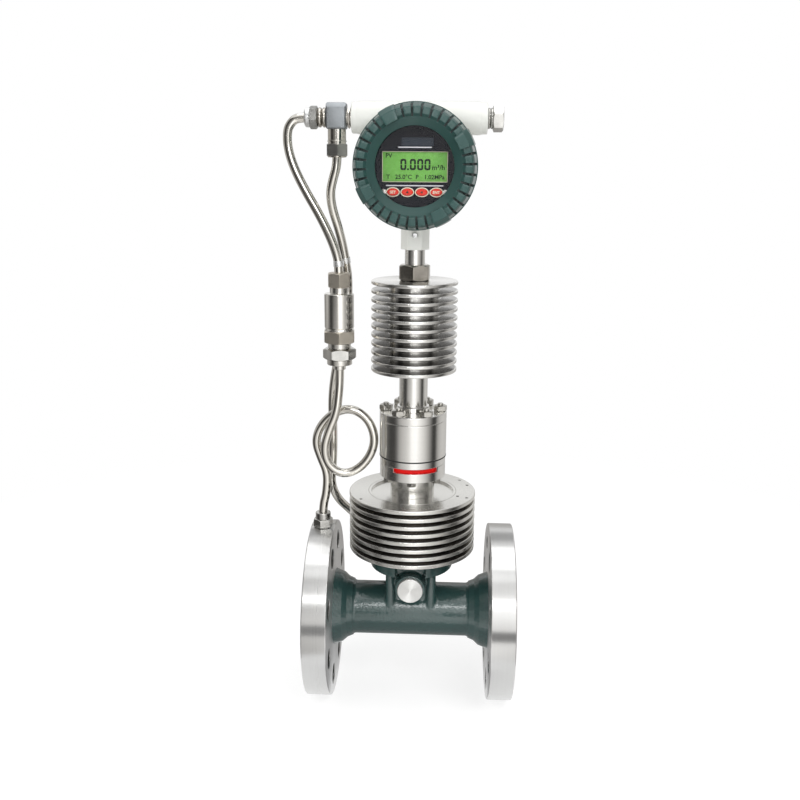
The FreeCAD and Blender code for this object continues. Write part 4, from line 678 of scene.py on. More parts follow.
def to_mesh(shape):
    """A bmesh as a mesh with outward faces, smooth but for its real edges."""
    bmesh.ops.recalc_face_normals(shape, faces=shape.faces)
    mesh = bpy.data.meshes.new("mesh")
    shape.to_mesh(mesh)
    shape.free()
    return smoothed(mesh)


def smoothed(mesh):
    """Smooth shading with sharp edges where faces really turn."""
    mesh.shade_smooth()
    mesh.set_sharp_from_angle(angle=SHARP)
    return mesh


def skin(rings, closed=True):
    """Rings of points joined into a surface; a ring of one point is a pole."""
    shape = bmesh.new()
    loops = [[shape.verts.new(point) for point in ring] for ring in rings]
    count = max(len(loop) for loop in loops)
    pairs = zip(loops, loops[1:] + loops[:1]) if closed else zip(loops, loops[1:])
    for loop, following in pairs:
        if len(loop) == 1 and len(following) == 1:
            continue
        for step in range(count):
            ahead = step + 1
            corners = [loop[step % len(loop)], loop[ahead % len(loop)],
                       following[ahead % len(following)], following[step % len(following)]]
            shape.faces.new(dict.fromkeys(corners))
    return to_mesh(shape)


def ring(radius, height, steps=TURN_STEPS):
    """Points round the axis at one height; a radius of zero is one point."""
    if radius < 1e-6:
        return [(0, 0, height)]
    angles = [2 * math.pi * step / steps for step in range(steps)]
    return [(radius * math.cos(angle), radius * math.sin(angle), height) for angle in angles]


def lathe(corners, steps=TURN_STEPS, closed=True):
    """An outline of radius and height turned about the axis."""
    return skin([ring(radius, height, steps) for radius, height in rounded(corners)], closed)


def turned(bore, corners, steps=TURN_STEPS):
    """A piece turned from its outer corners, closed to its bore at both ends."""
    return lathe([(bore, corners[0][1]), *corners, (bore, corners[-1][1])], steps)


def tube_wall(inner, outer, low, high, ease):
    """A turned sleeve with eased outer edges."""
    return turned(inner, [(outer, low, ease), (outer, high, ease)])


print("a full turn has", TURN_STEPS, "steps")

# %% [markdown]
# A hexagon nut is a turned piece too, with flats milled on it afterwards. Its chamfer cone meets the
# flats in curved edges. Reading the side's distance for each angle gives those curves for nothing.

# %% Hexagons
HEX_STEPS = 96
CHAMFER_SLOPE = math.tan(math.radians(30))
CORNER_SHARE = 1.146
CROWN_SHARE = 0.94


def hex_ring(flats, level, rise):
    """The side of a hexagon, which falls back along the chamfer cone where it reaches further out."""
    points = []
    for step in range(HEX_STEPS):
        angle = 2 * math.pi * step / HEX_STEPS
        reach = flats / 2 / math.cos(angle % (math.pi / 3) - math.pi / 6)
        reach = min(reach, flats / 2 * CORNER_SHARE)
        fall = (reach - flats / 2 * CROWN_SHARE) * CHAMFER_SLOPE
        points.append((reach * math.cos(angle), reach * math.sin(angle), level + rise * fall))
    return points


def hexagon(flats, low, high, bore=0.0, bearing=0):
    """A hexagon nut or head with a chamfer at both ends, turned to a bearing."""
    crown = flats / 2 * CROWN_SHARE
    mesh = skin([ring(bore, low, HEX_STEPS), ring(crown, low, HEX_STEPS), hex_ring(flats, low, 1),
                 hex_ring(flats, high, -1), ring(crown, high, HEX_STEPS), ring(bore, high, HEX_STEPS)])
    mesh.transform(Matrix.Rotation(math.radians(bearing), 4, "Z"))
    return mesh


print("a hexagon's corner stands", CORNER_SHARE, "times as far out as its flat")

# %% [markdown]
# Some outlines are swept through a part of a turn only, as for a grip block, and a thread is an outline that
# goes in and out. On so small a pitch nobody sees that its turns are rings.

# %% Wedges and threads


def wedge(corners, width, steps=4):
    """An outline swept a few degrees about the axis, closed at both ends."""
    outline = rounded(corners)
    shape = bmesh.new()
    sections = []
    for step in range(steps + 1):
        angle = math.radians(width * (step / steps - 0.5))
        sections.append([shape.verts.new((r * math.cos(angle), r * math.sin(angle), h)) for r, h in outline])
    for here, there in zip(sections, sections[1:]):
        for index in range(len(outline)):
            shape.faces.new([here[index - 1], here[index], there[index], there[index - 1]])
    shape.faces.new(sections[0])
    shape.faces.new(sections[-1])
    return to_mesh(shape)


def thread(radius, low, high, pitch, depth):
    """Outline points of a thread's crests and roots from low to high."""
    turns = round((high - low) / pitch)
    points = []
    for turn in range(turns):
        foot = low + (high - low) * turn / turns
        points += [(radius - depth, foot), (radius, foot + (high - low) / turns / 2)]
    return points


print("a thread of 5 mm has", len(thread(3, 0, 5, 1.0, 0.5)) // 2, "turns")

# %% [markdown]
# Modifiers bevel edges and cut holes. A mesh passes through them on a helper object, which is removed again,
# so the finished piece is a plain mesh.

# %% Joining, easing and cutting


def joined(*meshes):
    """Several meshes as one."""
    shape = bmesh.new()
    for mesh in meshes:
        shape.from_mesh(mesh)
        bpy.data.meshes.remove(mesh)
    mesh = bpy.data.meshes.new("joined")
    shape.to_mesh(mesh)
    shape.free()
    return mesh


def helper(data):
    """A passing object that carries a mesh or a curve through its modifiers."""
    return put("helper", data)


def baked(carrier):
    """The passing object's mesh with its modifiers applied."""
    bpy.context.view_layer.update()
    graph = bpy.context.evaluated_depsgraph_get()
    mesh = bpy.data.meshes.new_from_object(carrier.evaluated_get(graph), depsgraph=graph)
    bpy.data.objects.remove(carrier)
    return mesh


def softened(mesh, width, steps=2):
    """The same mesh with its sharp edges bevelled."""
    carrier = helper(mesh)
    bevel = carrier.modifiers.new("edges", "BEVEL")
    bevel.width = width
    bevel.segments = steps
    bevel.limit_method = "ANGLE"
    bevel.angle_limit = SHARP
    return smoothed(baked(carrier))


def drilled(mesh, *tools):
    """The mesh with other meshes cut away."""
    cutter = helper(joined(*tools))
    carrier = helper(mesh)
    cut = carrier.modifiers.new("cut", "BOOLEAN")
    cut.operation = "DIFFERENCE"
    cut.solver = "EXACT"
    cut.object = cutter
    result = smoothed(baked(carrier))
    bpy.data.objects.remove(cutter)
    return result


print("edges sharper than", round(math.degrees(SHARP)), "degrees stay sharp")

# %% [markdown]
# Meshes are drawn upright about the origin, then turned and put at their place. A finished piece rides on
# the body of its solid. It either takes the solid's place or is trim beside it.

# %% Placing pieces
UPRIGHT = Matrix.Identity(4)
DOWN = Matrix.Rotation(math.pi, 4, "X")
FRONT = Matrix.Rotation(math.pi / 2, 4, "X")
BACK = Matrix.Rotation(-math.pi / 2, 4, "X")
RIGHT = Matrix.Rotation(math.pi / 2, 4, "Y")
LEFT = Matrix.Rotation(-math.pi / 2, 4, "Y")


def moved(mesh, x=0.0, y=0.0, z=0.0, turn=UPRIGHT):
    """The mesh turned, then put at a place."""
    mesh.transform(Matrix.Translation((x, y, z)) @ turn)
    return mesh


def spun(degrees):
    """A turn about the upright axis."""
    return Matrix.Rotation(math.radians(degrees), 4, "Z")


def trim(name, mesh, finish, node):
    """Put a finished mesh into the scene, on the body of its solid."""
    mesh.transform(Matrix.Scale(MM, 4))
    mesh.materials.clear()
    mesh.materials.append(finish)
    piece = put(name, mesh)
    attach(piece, body_of[node])
    print(name, "faces", len(mesh.polygons))
    return piece


def show(name, mesh, finish, *nodes):
    """The same for a piece that takes the place of its solids."""
    piece = trim(name, mesh, finish, nodes[0])
    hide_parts(*nodes)
    return piece


def on_head(mesh, y, turn):
    """A mesh set on the axis of the head, facing front or back."""
    return moved(mesh, NECK_X, y, HEAD_Z, turn)


# %% [markdown]
# Fins, studs, nuts and grip blocks are one shape many times over. A tree of Geometry Nodes makes the
# copies: point number n is turned n times the step angle and raised n times the step height. The tree
# ends in real faces with their finish, so nothing depends on it later.

# %% Copies in a ring or a stack


def new_group(name, inputs):
    """A Geometry Nodes tree with its named inputs and one output."""
    tree = bpy.data.node_groups.new(name, "GeometryNodeTree")
    for words, kind in inputs:
        tree.interface.new_socket(words, in_out="INPUT", socket_type="NodeSocket" + kind)
    tree.interface.new_socket("Geometry", in_out="OUTPUT", socket_type="NodeSocketGeometry")
    return tree, tree.nodes.new("NodeGroupInput").outputs, tree.nodes.new("NodeGroupOutput").inputs


def ending(tree, geometry, finish, out):
    """Real faces with their finish, as the last two nodes."""
    real = new_node(tree, "GeometryNodeRealizeInstances", {"Geometry": geometry})[0]
    coated = new_node(tree, "GeometryNodeSetMaterial", {"Geometry": real, "Material": finish})[0]
    tree.links.new(coated, out["Geometry"])


def grown(data, tree, **inputs):
    """The mesh that a tree makes from a passing object; inputs are set by their sockets' identifiers."""
    carrier = helper(data)
    nodes = carrier.modifiers.new("nodes", "NODES")
    nodes.node_group = tree
    for item in tree.interface.items_tree:
        if item.item_type == "SOCKET" and item.name in inputs:
            nodes[item.identifier] = inputs[item.name]
    return baked(carrier)


copy_tree, given, out = new_group("copies in a ring or stack", [
    ("Pattern", "Object"), ("Count", "Int"), ("Turn", "Float"), ("Rise", "Float"), ("Finish", "Material")])
number = new_node(copy_tree, "GeometryNodeInputIndex")[0]
spin_way = add(copy_tree, "CombineXYZ", {"Z": calc(copy_tree, "MULTIPLY", number, given["Turn"])})[0]
rise_way = add(copy_tree, "CombineXYZ", {"Z": calc(copy_tree, "MULTIPLY", number, given["Rise"])})[0]
points = new_node(copy_tree, "GeometryNodePoints", {"Count": given["Count"], "Position": rise_way})[0]
pattern = new_node(copy_tree, "GeometryNodeObjectInfo", {"Object": given["Pattern"]})["Geometry"]
spin = new_node(copy_tree, "FunctionNodeEulerToRotation", {0: spin_way})[0]
copied = new_node(copy_tree, "GeometryNodeInstanceOnPoints",
                  {"Points": points, "Instance": pattern, "Rotation": spin})[0]
ending(copy_tree, copied, given["Finish"], out)


def copies(mesh, count, finish, turn=0.0, rise=0.0):
    """Copies of a mesh, each turned and raised one step further than the last."""
    seed = helper(mesh)
    result = grown(bpy.data.meshes.new("copies"), copy_tree, Pattern=seed, Count=count,
                   Turn=math.radians(turn), Rise=rise, Finish=finish)
    bpy.data.objects.remove(seed)
    return result


def ring_of(mesh, count, finish):
    """Copies of a mesh spaced evenly round the axis."""
    return copies(mesh, count, finish, turn=360 / count)


print("copy tree has", len(copy_tree.nodes), "nodes")

# %% [markdown]
# The body is sand cast: its inner corners are full and its edges are soft. The solid has the right form
# with crisp corners, so a copy of it is divided into small cubes and relaxed, which is what a voxel
# remesh and a few smoothing passes do. The head's housing is die cast and gets a finer version.

# %% Castings
WELD = 0.001


def welded_copy(node):
    """A copy of a solid with welded seams, in millimetres."""
    mesh = frame["nodes"][node].data.copy()
    mesh.transform(Matrix.Scale(1 / MM, 4))
    shape = bmesh.new()
    shape.from_mesh(mesh)
    bmesh.ops.remove_doubles(shape, verts=shape.verts, dist=WELD)
    shape.to_mesh(mesh)
    shape.free()
    return mesh


def cast_copy(node, voxel, passes):
    """A copy of a solid with rounded corners."""
    carrier = helper(welded_copy(node))
    cubes = carrier.modifiers.new("cubes", "REMESH")
    cubes.mode = "VOXEL"
    cubes.voxel_size = voxel
    relax = carrier.modifiers.new("relax", "SMOOTH")
    relax.factor = 0.5
    relax.iterations = passes
    result = baked(carrier)
    result.shade_smooth()
    return result


show("cast_body", cast_copy("meter_body", voxel=1.05, passes=2), body_paint, "meter_body")
show("cast_housing", cast_copy("head_housing", voxel=0.95, passes=4), housing_paint, "head_housing")

# %% [markdown]
# The hubs beside the flanges were machined after casting, so they keep crisp steps that the relaxed copy has
# lost. A turned skin over each of them brings the steps back.

# %% Hubs
HUB_OUTLINE = [(24, 0), (36.1, 0), (32.9, 8.2, 0.5), (28.9, 12.6, 0.4), (26.7, 18, 0.4), (24, 18.4)]
inlet = Place("inlet_flange")
outlet = Place("outlet_flange")
hub_skins = [moved(lathe(HUB_OUTLINE), inlet.high.x, turn=RIGHT),
             moved(lathe(HUB_OUTLINE), outlet.low.x, turn=LEFT)]
trim("stepped_hubs", joined(*hub_skins), body_paint, "meter_body")

# %% [markdown]
# The bore and the ends of the pipe were machined too, and stay bare. A thin turned sleeve lies in the bore,
# from one sealing face to the other.

# %% Bore
MOUTH_RADIUS = 24.75
BORE_RADIUS = 19.75
MOUTH_LENGTH = 30
SPIGOT_END = 31.0
SLEEVE_WALL = 1.2
bore_length = outlet.high.x - inlet.low.x
bore_half = [(MOUTH_RADIUS, 0), (SPIGOT_END, 0, 0.3), (SPIGOT_END, 3), (MOUTH_RADIUS + SLEEVE_WALL, 3),
             (BORE_RADIUS + SLEEVE_WALL, MOUTH_LENGTH + 1)]
far_half = [(corner[0], bore_length - corner[1], *corner[2:]) for corner in reversed(bore_half)]
throat = [(BORE_RADIUS, bore_length - MOUTH_LENGTH), (BORE_RADIUS, MOUTH_LENGTH)]
bore_mesh = moved(lathe(bore_half + far_half + throat), inlet.low.x, turn=RIGHT)
trim("machined_bore", bore_mesh, flange_steel, "meter_body")

# %% [markdown]
# The flanges are turned from plate, drilled on a bolt circle and given a raised face with a fine spiral
# that bites into the gasket. The drill leaves a small countersink at both ends of each hole. The walls of
# the holes are painted dark, as shade. The inlet flange also has a spot face on its rim for the siphon's
# fitting.

# %% Flanges
bolts = next(mount for mount in record["mounts"] if mount["name"] == "inlet_bolts")["dims"]
BOLT_CIRCLE = bolts["pcd_mm"] / 2
BOLT_HOLE = bolts["hole_r_mm"]
BOLT_COUNT = bolts["count"]
RAISED_RADIUS = 46
RAISED_HEIGHT = 2
SPIGOT_HOLE = 31.1
SPIRAL_PITCH = 0.9
SPIRAL_DEPTH = 0.12
RIM_EASE = 0.9
COUNTERSINK = 0.7
DRILL_STEPS = 48


def on_bolt_circle(mesh, finish):
    """Copies of a mesh on the bolt circle, the first of them half a step round."""
    first = moved(moved(mesh, BOLT_CIRCLE), turn=spun(180 / BOLT_COUNT))
    return ring_of(first, BOLT_COUNT, finish)


def bolt_cutter(low, high):
    """A drill with a countersink at both ends."""
    flare = BOLT_HOLE + COUNTERSINK + 1
    return turned(0, [(flare, low - 1), (BOLT_HOLE, low + COUNTERSINK), (BOLT_HOLE, high - COUNTERSINK),
                      (flare, high + 1)], DRILL_STEPS)


def flange(place, face, turn, *tools):
    """A drilled flange, drawn from its sealing face to the pipe."""
    thick = place.size.x
    rim = place.high.y
    spiral = []
    grooves = round((RAISED_RADIUS - SPIGOT_HOLE - 1.5) / SPIRAL_PITCH)
    for groove in range(grooves):
        foot = SPIGOT_HOLE + 0.8 + groove * SPIRAL_PITCH
        spiral += [(foot, 0), (foot + SPIRAL_PITCH / 2, SPIRAL_DEPTH)]
    outline = [*spiral, (RAISED_RADIUS, 0, 0.3), (RAISED_RADIUS, RAISED_HEIGHT, 0.4),
               (rim, RAISED_HEIGHT, RIM_EASE), (rim, thick, RIM_EASE)]
    holes = on_bolt_circle(bolt_cutter(RAISED_HEIGHT, thick), flange_steel)
    body = moved(drilled(turned(SPIGOT_HOLE, outline, 2 * TURN_STEPS), holes), face, turn=turn)
    return drilled(body, *tools) if tools else body


tap = Place("siphon_fitting")
tap_x = tap.middle.x
SPOT_RADIUS = 10.4
SPOT_LEVEL = 81.7
SPOT_TOP = 90
spot_tool = moved(turned(0, [(SPOT_RADIUS, SPOT_LEVEL, 0.3), (SPOT_RADIUS, SPOT_TOP)], 64), tap_x)
inlet_mesh = flange(inlet, inlet.low.x, RIGHT, spot_tool)
show("turned_inlet_flange", inlet_mesh, flange_steel, "inlet_flange")
show("turned_outlet_flange", flange(outlet, outlet.high.x, LEFT), flange_steel, "outlet_flange")

# %% [markdown]
# The painted shade on the holes' walls is a thin dark skin of its own, a little short of the countersinks.

# %% Hole walls
HOLE_SKIN = 0.3
HOLE_BITE = 0.05
WALL_START = RAISED_HEIGHT + 0.8
wall_end = inlet.size.x - 0.8
for end, face, turn in (("inlet", inlet.low.x, RIGHT), ("outlet", outlet.high.x, LEFT)):
    wall = lathe([(BOLT_HOLE - HOLE_SKIN, WALL_START + 0.4), (BOLT_HOLE + HOLE_BITE, WALL_START),
                  (BOLT_HOLE + HOLE_BITE, wall_end), (BOLT_HOLE - HOLE_SKIN, wall_end - 0.4)], DRILL_STEPS)
    walls = smoothed(on_bolt_circle(wall, painted_hole_shade))
    trim(end + "_hole_walls", moved(walls, face, turn=turn), painted_hole_shade, end + "_flange")

# %% [markdown]
# The front boss of the body is closed by a plug with a faced disc. A faced disc throws bright fans of
# light from its middle, so its finish has strong anisotropy about the plug's own axis.

# %% Front plug
PLUG_SHANK = 7.9
PLUG_LENGTH = 15
plug_mesh = turned(0, [(PLUG_SHANK, 0), (PLUG_SHANK, 11), (plug.radius, 11.9, 0.3),
                       (plug.radius, PLUG_LENGTH, 0.7)])
plug_mesh = moved(plug_mesh, plug.middle.x, plug.low.y + PLUG_LENGTH, plug.middle.z, FRONT)
show("faced_plug", plug_mesh, plug_steel, "tap_plug")

# %% [markdown]
# A heat sink is one bar with deep grooves. Seen as a rule, it is the same strip many times: the core, out
# along a fin, round its eased rim and back in. The copy tree stacks that strip, and a last strip closes
# the top and the bore. Welding the seams gives one clean skin.

# %% Heat sinks
SEAM = 0.002


def finned(place, core, bore, fin, pitch, top, ease):
    """A finned sink with eased rims; top lists the outline from the last fin's rim to the bore."""
    radius = place.radius
    height = place.size.z
    last = height - fin
    count = round(last / pitch) + 1
    strip = [(core, 0), (radius, 0, ease), (radius, fin, ease), (core, fin), (core, pitch)]
    fins = copies(lathe(strip, closed=False), count - 1, lower_steel, rise=pitch)
    crown = [(core, last), (radius, last, ease), (radius, height, ease), *top(height), (bore, last),
             (bore, 0), (core, 0)]
    shape = bmesh.new()
    for mesh in (fins, lathe(crown, closed=False)):
        shape.from_mesh(mesh)
    bmesh.ops.remove_doubles(shape, verts=shape.verts, dist=SEAM)
    print("fins", count)
    return moved(to_mesh(shape), NECK_X, 0, place.low.z)


def dished_top(height):
    """The lower sink's top plate with a fine scribed line and its shallow recess."""
    floor = height - LOWER_RECESS
    return [(40.9, height), (40.6, height - 0.5), (40.3, height), (LOWER_CORE, height, 0.3),
            (LOWER_CORE, floor, 0.3), (8, floor)]


def flat_top(height):
    """The upper sink's plain top."""
    return [(6, height)]


PIN_HOLES = [(53.7, -148), (53.7, 34), (53.7, 17), (53.7, -21), (44.5, -20)]
PIN_RADIUS = 1.4
PIN_DEPTH = 3
pin_tools = []
for reach, bearing in PIN_HOLES:
    spot = spun(bearing) @ Vector((reach, 0, 0))
    drill = turned(0, [(PIN_RADIUS, -PIN_DEPTH), (PIN_RADIUS, 1)], 24)
    pin_tools.append(moved(drill, NECK_X + spot.x, spot.y, lower.high.z))
lower_sink = finned(lower, LOWER_CORE, bore=8, fin=3.6, pitch=7.28, top=dished_top, ease=0.7)
show("finned_lower_sink", drilled(lower_sink, *pin_tools), lower_steel, "lower_heat_sink")
upper_sink = finned(upper, UPPER_CORE, bore=6, fin=3.2, pitch=7.75, top=flat_top, ease=0.9)
show("finned_upper_sink", upper_sink, upper_steel, "upper_heat_sink")

# %% [markdown]
# Between the sinks stands the clamped stack: a neck with a clamp ring and two side lips, a red gasket
# that keeps the heat back, a ring, a thin black seal, the amplifier chamber and its cap. All of them are
# turned, and each joint shows as a fine line because every edge is eased.

# %% Clamped stack
LIP_ARC = 98
LIP_TURN = 8
LIP_WALL = 27.6
LIP_OVERLAP = 2
CLAMP_FOOT = 18
CLAMP_TOP = 26.5
CLAMP_STUB = 20.4
clamp = Place("clamp_neck")
lip_top = clamp.size.z
lip_foot = CLAMP_TOP - LIP_OVERLAP
neck_mesh = turned(8, [(CLAMP_STUB, 0, 0.3), (CLAMP_STUB, CLAMP_FOOT, 0.8), (clamp.radius, CLAMP_FOOT, 0.5),
                       (clamp.radius, CLAMP_TOP, 0.25)])
lip = wedge([(LIP_WALL, lip_foot), (clamp.radius, lip_foot), (clamp.radius, lip_top, 0.3),
             (LIP_WALL, lip_top, 0.3)], LIP_ARC, 24)
lips = moved(ring_of(softened(lip, 0.25), 2, neck_steel), turn=spun(LIP_TURN))
clamp_mesh = moved(joined(neck_mesh, lips), NECK_X, 0, clamp.low.z)
show("clamp_neck_and_lips", clamp_mesh, neck_steel, "clamp_neck")


def sleeve(name, node, bore, ease, finish, proud=0.0, swell=0.0):
    """A plain turned ring at its solid's place; a soft one may swell out of its joint."""
    place = Place(node)
    mesh = tube_wall(bore, place.radius + proud, place.low.z - swell, place.high.z + swell, ease)
    return show(name, moved(mesh, NECK_X), finish, node)


sleeve("red_heat_gasket", "red_gasket", 12, 0.4, gasket_red)
sleeve("stack_ring", "chamber_ring", 12, 0.5, neck_steel)
sleeve("thin_black_seal", "chamber_seal", 18, 0.2, seal_rubber, proud=0.95, swell=0.3)
sleeve("polished_chamber", "sensor_chamber", 14, 0.5, neck_steel)
sleeve("polished_cap", "chamber_cap", 6, 0.8, neck_steel)

STEM_RADIUS = 12.8
stem = Place("stem_tube")
stem_step = stem.low.z + 5
stem_mesh = turned(6, [(stem.radius, stem.low.z, 0.3), (stem.radius, stem_step, 0.8),
                       (STEM_RADIUS, stem_step, 0.5), (STEM_RADIUS, stem.high.z)])
show("polished_stem", moved(stem_mesh, NECK_X), neck_steel, "stem_tube")

# %% [markdown]
# Six studs hold the cap. Each has a real thread, a chamfered end and a hexagon nut. Six more bolt heads
# look out under the clamp ring. One pattern each is enough, and the copy tree sets them on their circles.

# %% Studs, nuts and bolts
STUD_CIRCLE = 24.7
STUD_RADIUS = 2.9
STUD_SHOWN = 1.9
STUD_PITCH = 1.0
RING_CIRCLE = 25
FASTENER_COUNT = 6
stud_foot = Place("cap_studs").low.z
cap_foot = Place("chamber_cap").low.z
cap_nut = Place("cap_nuts")
ring_bolt = Place("ring_bolts")
stud_top = cap_nut.high.z + STUD_SHOWN
stud_thread = thread(STUD_RADIUS, cap_foot + 1, stud_top - 0.6, STUD_PITCH, 0.5)
stud = turned(0, [(STUD_RADIUS, stud_foot), (STUD_RADIUS, cap_foot), *stud_thread,
                  (STUD_RADIUS - 0.7, stud_top)], 32)
stud = moved(stud, STUD_CIRCLE)
nut = moved(hexagon(10.8, cap_nut.low.z, cap_nut.high.z, STUD_RADIUS, 15), STUD_CIRCLE)
bolt_head = moved(moved(hexagon(8, ring_bolt.low.z, ring_bolt.high.z), RING_CIRCLE), turn=spun(30))
for name, mesh, node in (("threaded_studs", stud, "cap_studs"), ("hexagon_nuts", nut, "cap_nuts"),
                         ("ring_bolt_heads", bolt_head, "ring_bolts")):
    fasteners = smoothed(ring_of(mesh, FASTENER_COUNT, fastener_steel))
    show(name, moved(fasteners, NECK_X), fastener_steel, node)

# %% [markdown]
# A hexagon nut and a short polished tube carry the head. The tube ends in the head's neck, where a set
# screw with a hexagon socket keeps it from turning.

# %% Neck nut, tube and set screw
NECK_TUBE = 9


def upright_nut(name, node, flats, bore, bearing, x, finish):
    """A hexagon nut of its solid's height, turned to its bearing."""
    place = Place(node)
    mesh = hexagon(flats, place.low.z, place.high.z, bore, bearing)
    return show(name, moved(mesh, x), finish, node)


upright_nut("neck_hexagon", "neck_nut", 26, NECK_TUBE, 26, NECK_X, fitting_steel)
sleeve("polished_neck_tube", "neck_tube", 5, 0.4, neck_steel)

BUTTON_RADIUS = 2.7
BUTTON_RISE = 2.2
SCREW_RADIUS = 2
SOCKET_FLATS = 2.0
SOCKET_DEPTH = 1.2
screw = Place("set_screw")
screw_length = screw.size.y
button_top = screw_length + BUTTON_RISE
screw_mesh = turned(0, [(SCREW_RADIUS, 0), (SCREW_RADIUS, screw_length), (BUTTON_RADIUS, screw_length),
                        (BUTTON_RADIUS, button_top, 1.3)], 40)
screw_mesh = drilled(screw_mesh, hexagon(SOCKET_FLATS, button_top - SOCKET_DEPTH, button_top + 1))
screw_mesh = moved(screw_mesh, NECK_X, screw.high.y, screw.middle.z, FRONT)
show("socket_set_screw", screw_mesh, nose_zinc, "set_screw")

# %% [markdown]
# The covers are the face of the meter. A cover is a cone with thirty-six grip blocks round it and four
# square lugs for a wrench. The blocks stand on a smooth base that is turned at the depth of the grooves,
# so each groove has true walls. A dull dark skin lies on the floor of the grooves: it is painted shade,
# where deep grooves would be dark. Blocks and lugs come from the copy tree.

# %% Screwed covers
LUG_TURN = 28
BLOCK_COUNT = 36
BLOCK_WIDTH = 7.6
LUG_COUNT = 4
LUG_WIDTH = 16
LIP_RADIUS = 32.4
BASE_OUTER = [(46, 0), (52.2, 0, 0.4), (52.2, 3, 0.4), (51.2, 3), (49.4, 5.2), (46.5, 23.3, 1.2),
              (44.8, 24.5, 0.5), (38.96, 24.5), (LIP_RADIUS, 19.6, 0.8)]
BASE_INNER = [(38.6, 18.2), (38.6, 11.2), (43.35, 11.2), (43.35, 2), (46, 2)]
BLOCK_OUTLINE = [(38.96, 24.4), (41.5, 26.7, 0.3), (47, 26.7, 0.7), (48.7, 23.3, 1.0), (51.4, 5.3, 0.4),
                 (49.2, 5.3), (46.3, 23.2), (44.6, 24.4)]
LUG_OUTLINE = [(38.5, 22), (38.5, 29.1, 0.4), (47, 29.1, 0.7), (51.1, 23.3, 1.0), (53, 3.2, 0.4),
               (49, 3.2), (45.8, 22)]
GROOVE_SHADE_SKIN = [(39.3, 24.56), (44.83, 24.56, 0.5), (46.57, 23.34, 1.2), (49.46, 5.24), (50.9, 3.4),
               (48.6, 3.4), (45.6, 22.2), (39.3, 23.4)]
GRIP_BEVEL = 0.5
PANE_SEAT = 18.2
BLIND_FACE = 20.2


def cover(y, turn, glazed):
    """A cover drawn from its open rim to its face, with its window or a blind face."""
    if glazed:
        base = lathe(BASE_OUTER + [(LIP_RADIUS, PANE_SEAT)] + BASE_INNER)
    else:
        base = lathe([(0, BLIND_FACE), (0, PANE_SEAT)] + BASE_INNER + BASE_OUTER)
    block = softened(wedge(BLOCK_OUTLINE, BLOCK_WIDTH), GRIP_BEVEL)
    lug = softened(wedge(LUG_OUTLINE, LUG_WIDTH, 6), GRIP_BEVEL)
    grips = [ring_of(block, BLOCK_COUNT, cover_paint), ring_of(lug, LUG_COUNT, cover_paint)]
    return on_head(moved(joined(base, *grips), turn=spun(LUG_TURN)), y, turn)


front_rim = Place("front_cover").high.y
rear_rim = Place("rear_cover").low.y
show("gripped_front_cover", cover(front_rim, FRONT, glazed=True), cover_paint, "front_cover")
show("gripped_rear_cover", cover(rear_rim, BACK, glazed=False), cover_paint, "rear_cover")
# The skins on the floor of the grooves carry painted shade.
trim("front_grip_grooves", on_head(lathe(GROOVE_SHADE_SKIN), front_rim, FRONT), groove_shade_paint, "front_cover")
trim("rear_grip_grooves", on_head(lathe(GROOVE_SHADE_SKIN), rear_rim, BACK), groove_shade_paint, "rear_cover")

# %% [markdown]
# The pane casts no shadow, because light that is bent by clear glass would leave specks on the panel.

# %% Window pane
glass = Place("window_glass")
glass_mesh = tube_wall(0, glass.radius, 0, glass.size.y, 0.4)
pane = show("window_pane", on_head(glass_mesh, glass.high.y, FRONT), window_glass, "window_glass")
pane.visible_shadow = False
pane.visible_diffuse = False

# %% [markdown]
# When a cover is screwed off, the thread of the housing comes into view. It is bare metal, so it is a
# sleeve of its own on each threaded end.

# %% Housing threads
SPIGOT_RADIUS = 43.1
SPIGOT_LENGTH = 11
SPIGOT_BORE = 41.5
COVER_PITCH = 1.75
COVER_THREAD = 0.8
housing = Place("head_housing")
crests = thread(SPIGOT_RADIUS, 1.2, SPIGOT_LENGTH - 0.8, COVER_PITCH, COVER_THREAD)
thread_outline = [(SPIGOT_BORE, 0.6), *crests, (SPIGOT_RADIUS - COVER_THREAD, SPIGOT_LENGTH - 0.6),
                  (SPIGOT_BORE, SPIGOT_LENGTH - 0.6)]
for end, y, turn in (("front", housing.low.y + SPIGOT_LENGTH, FRONT),
                     ("rear", housing.high.y - SPIGOT_LENGTH, BACK)):
    sleeve_mesh = on_head(lathe(thread_outline), y, turn)
    trim(end + "_housing_thread", sleeve_mesh, fastener_steel, "head_housing")

# %% [markdown]
# Behind the glass is a black panel with a lit display, two printed lines, a bare plate and four red keys.
# Print is flat, so it is made from outlines in the plane of the panel and given a hair of thickness.

# %% Print helpers
PRINT_THICK = 0.08


def plate(outline, front, thick=PRINT_THICK):
    """A flat shape from points (across, up) about the head's axis, its face turned to the viewer."""
    shape = bmesh.new()
    near = [shape.verts.new((NECK_X + x, front, HEAD_Z + z)) for x, z in outline]
    far = [shape.verts.new((NECK_X + x, front + thick, HEAD_Z + z)) for x, z in outline]
    shape.faces.new(near)
    shape.faces.new(far)
    for index in range(len(outline)):
        shape.faces.new([near[index - 1], near[index], far[index], far[index - 1]])
    return to_mesh(shape)


def bar(x, z, width, height):
    """Corners of an upright rectangle."""
    w, h = width / 2, height / 2
    return [(x - w, z - h), (x + w, z - h), (x + w, z + h), (x - w, z + h)]


def lettering(words, x, z, height, front, heavy=0.03):
    """Words with their left end at x and their foot at z."""
    curve = bpy.data.curves.new("words", "FONT")
    curve.body = words
    curve.size = height * 1.45
    curve.extrude = PRINT_THICK / 2
    curve.offset = height * heavy
    curve.resolution_u = 3
    mesh = baked(helper(curve))
    return moved(mesh, NECK_X + x, front + PRINT_THICK / 2, HEAD_Z + z, FRONT)


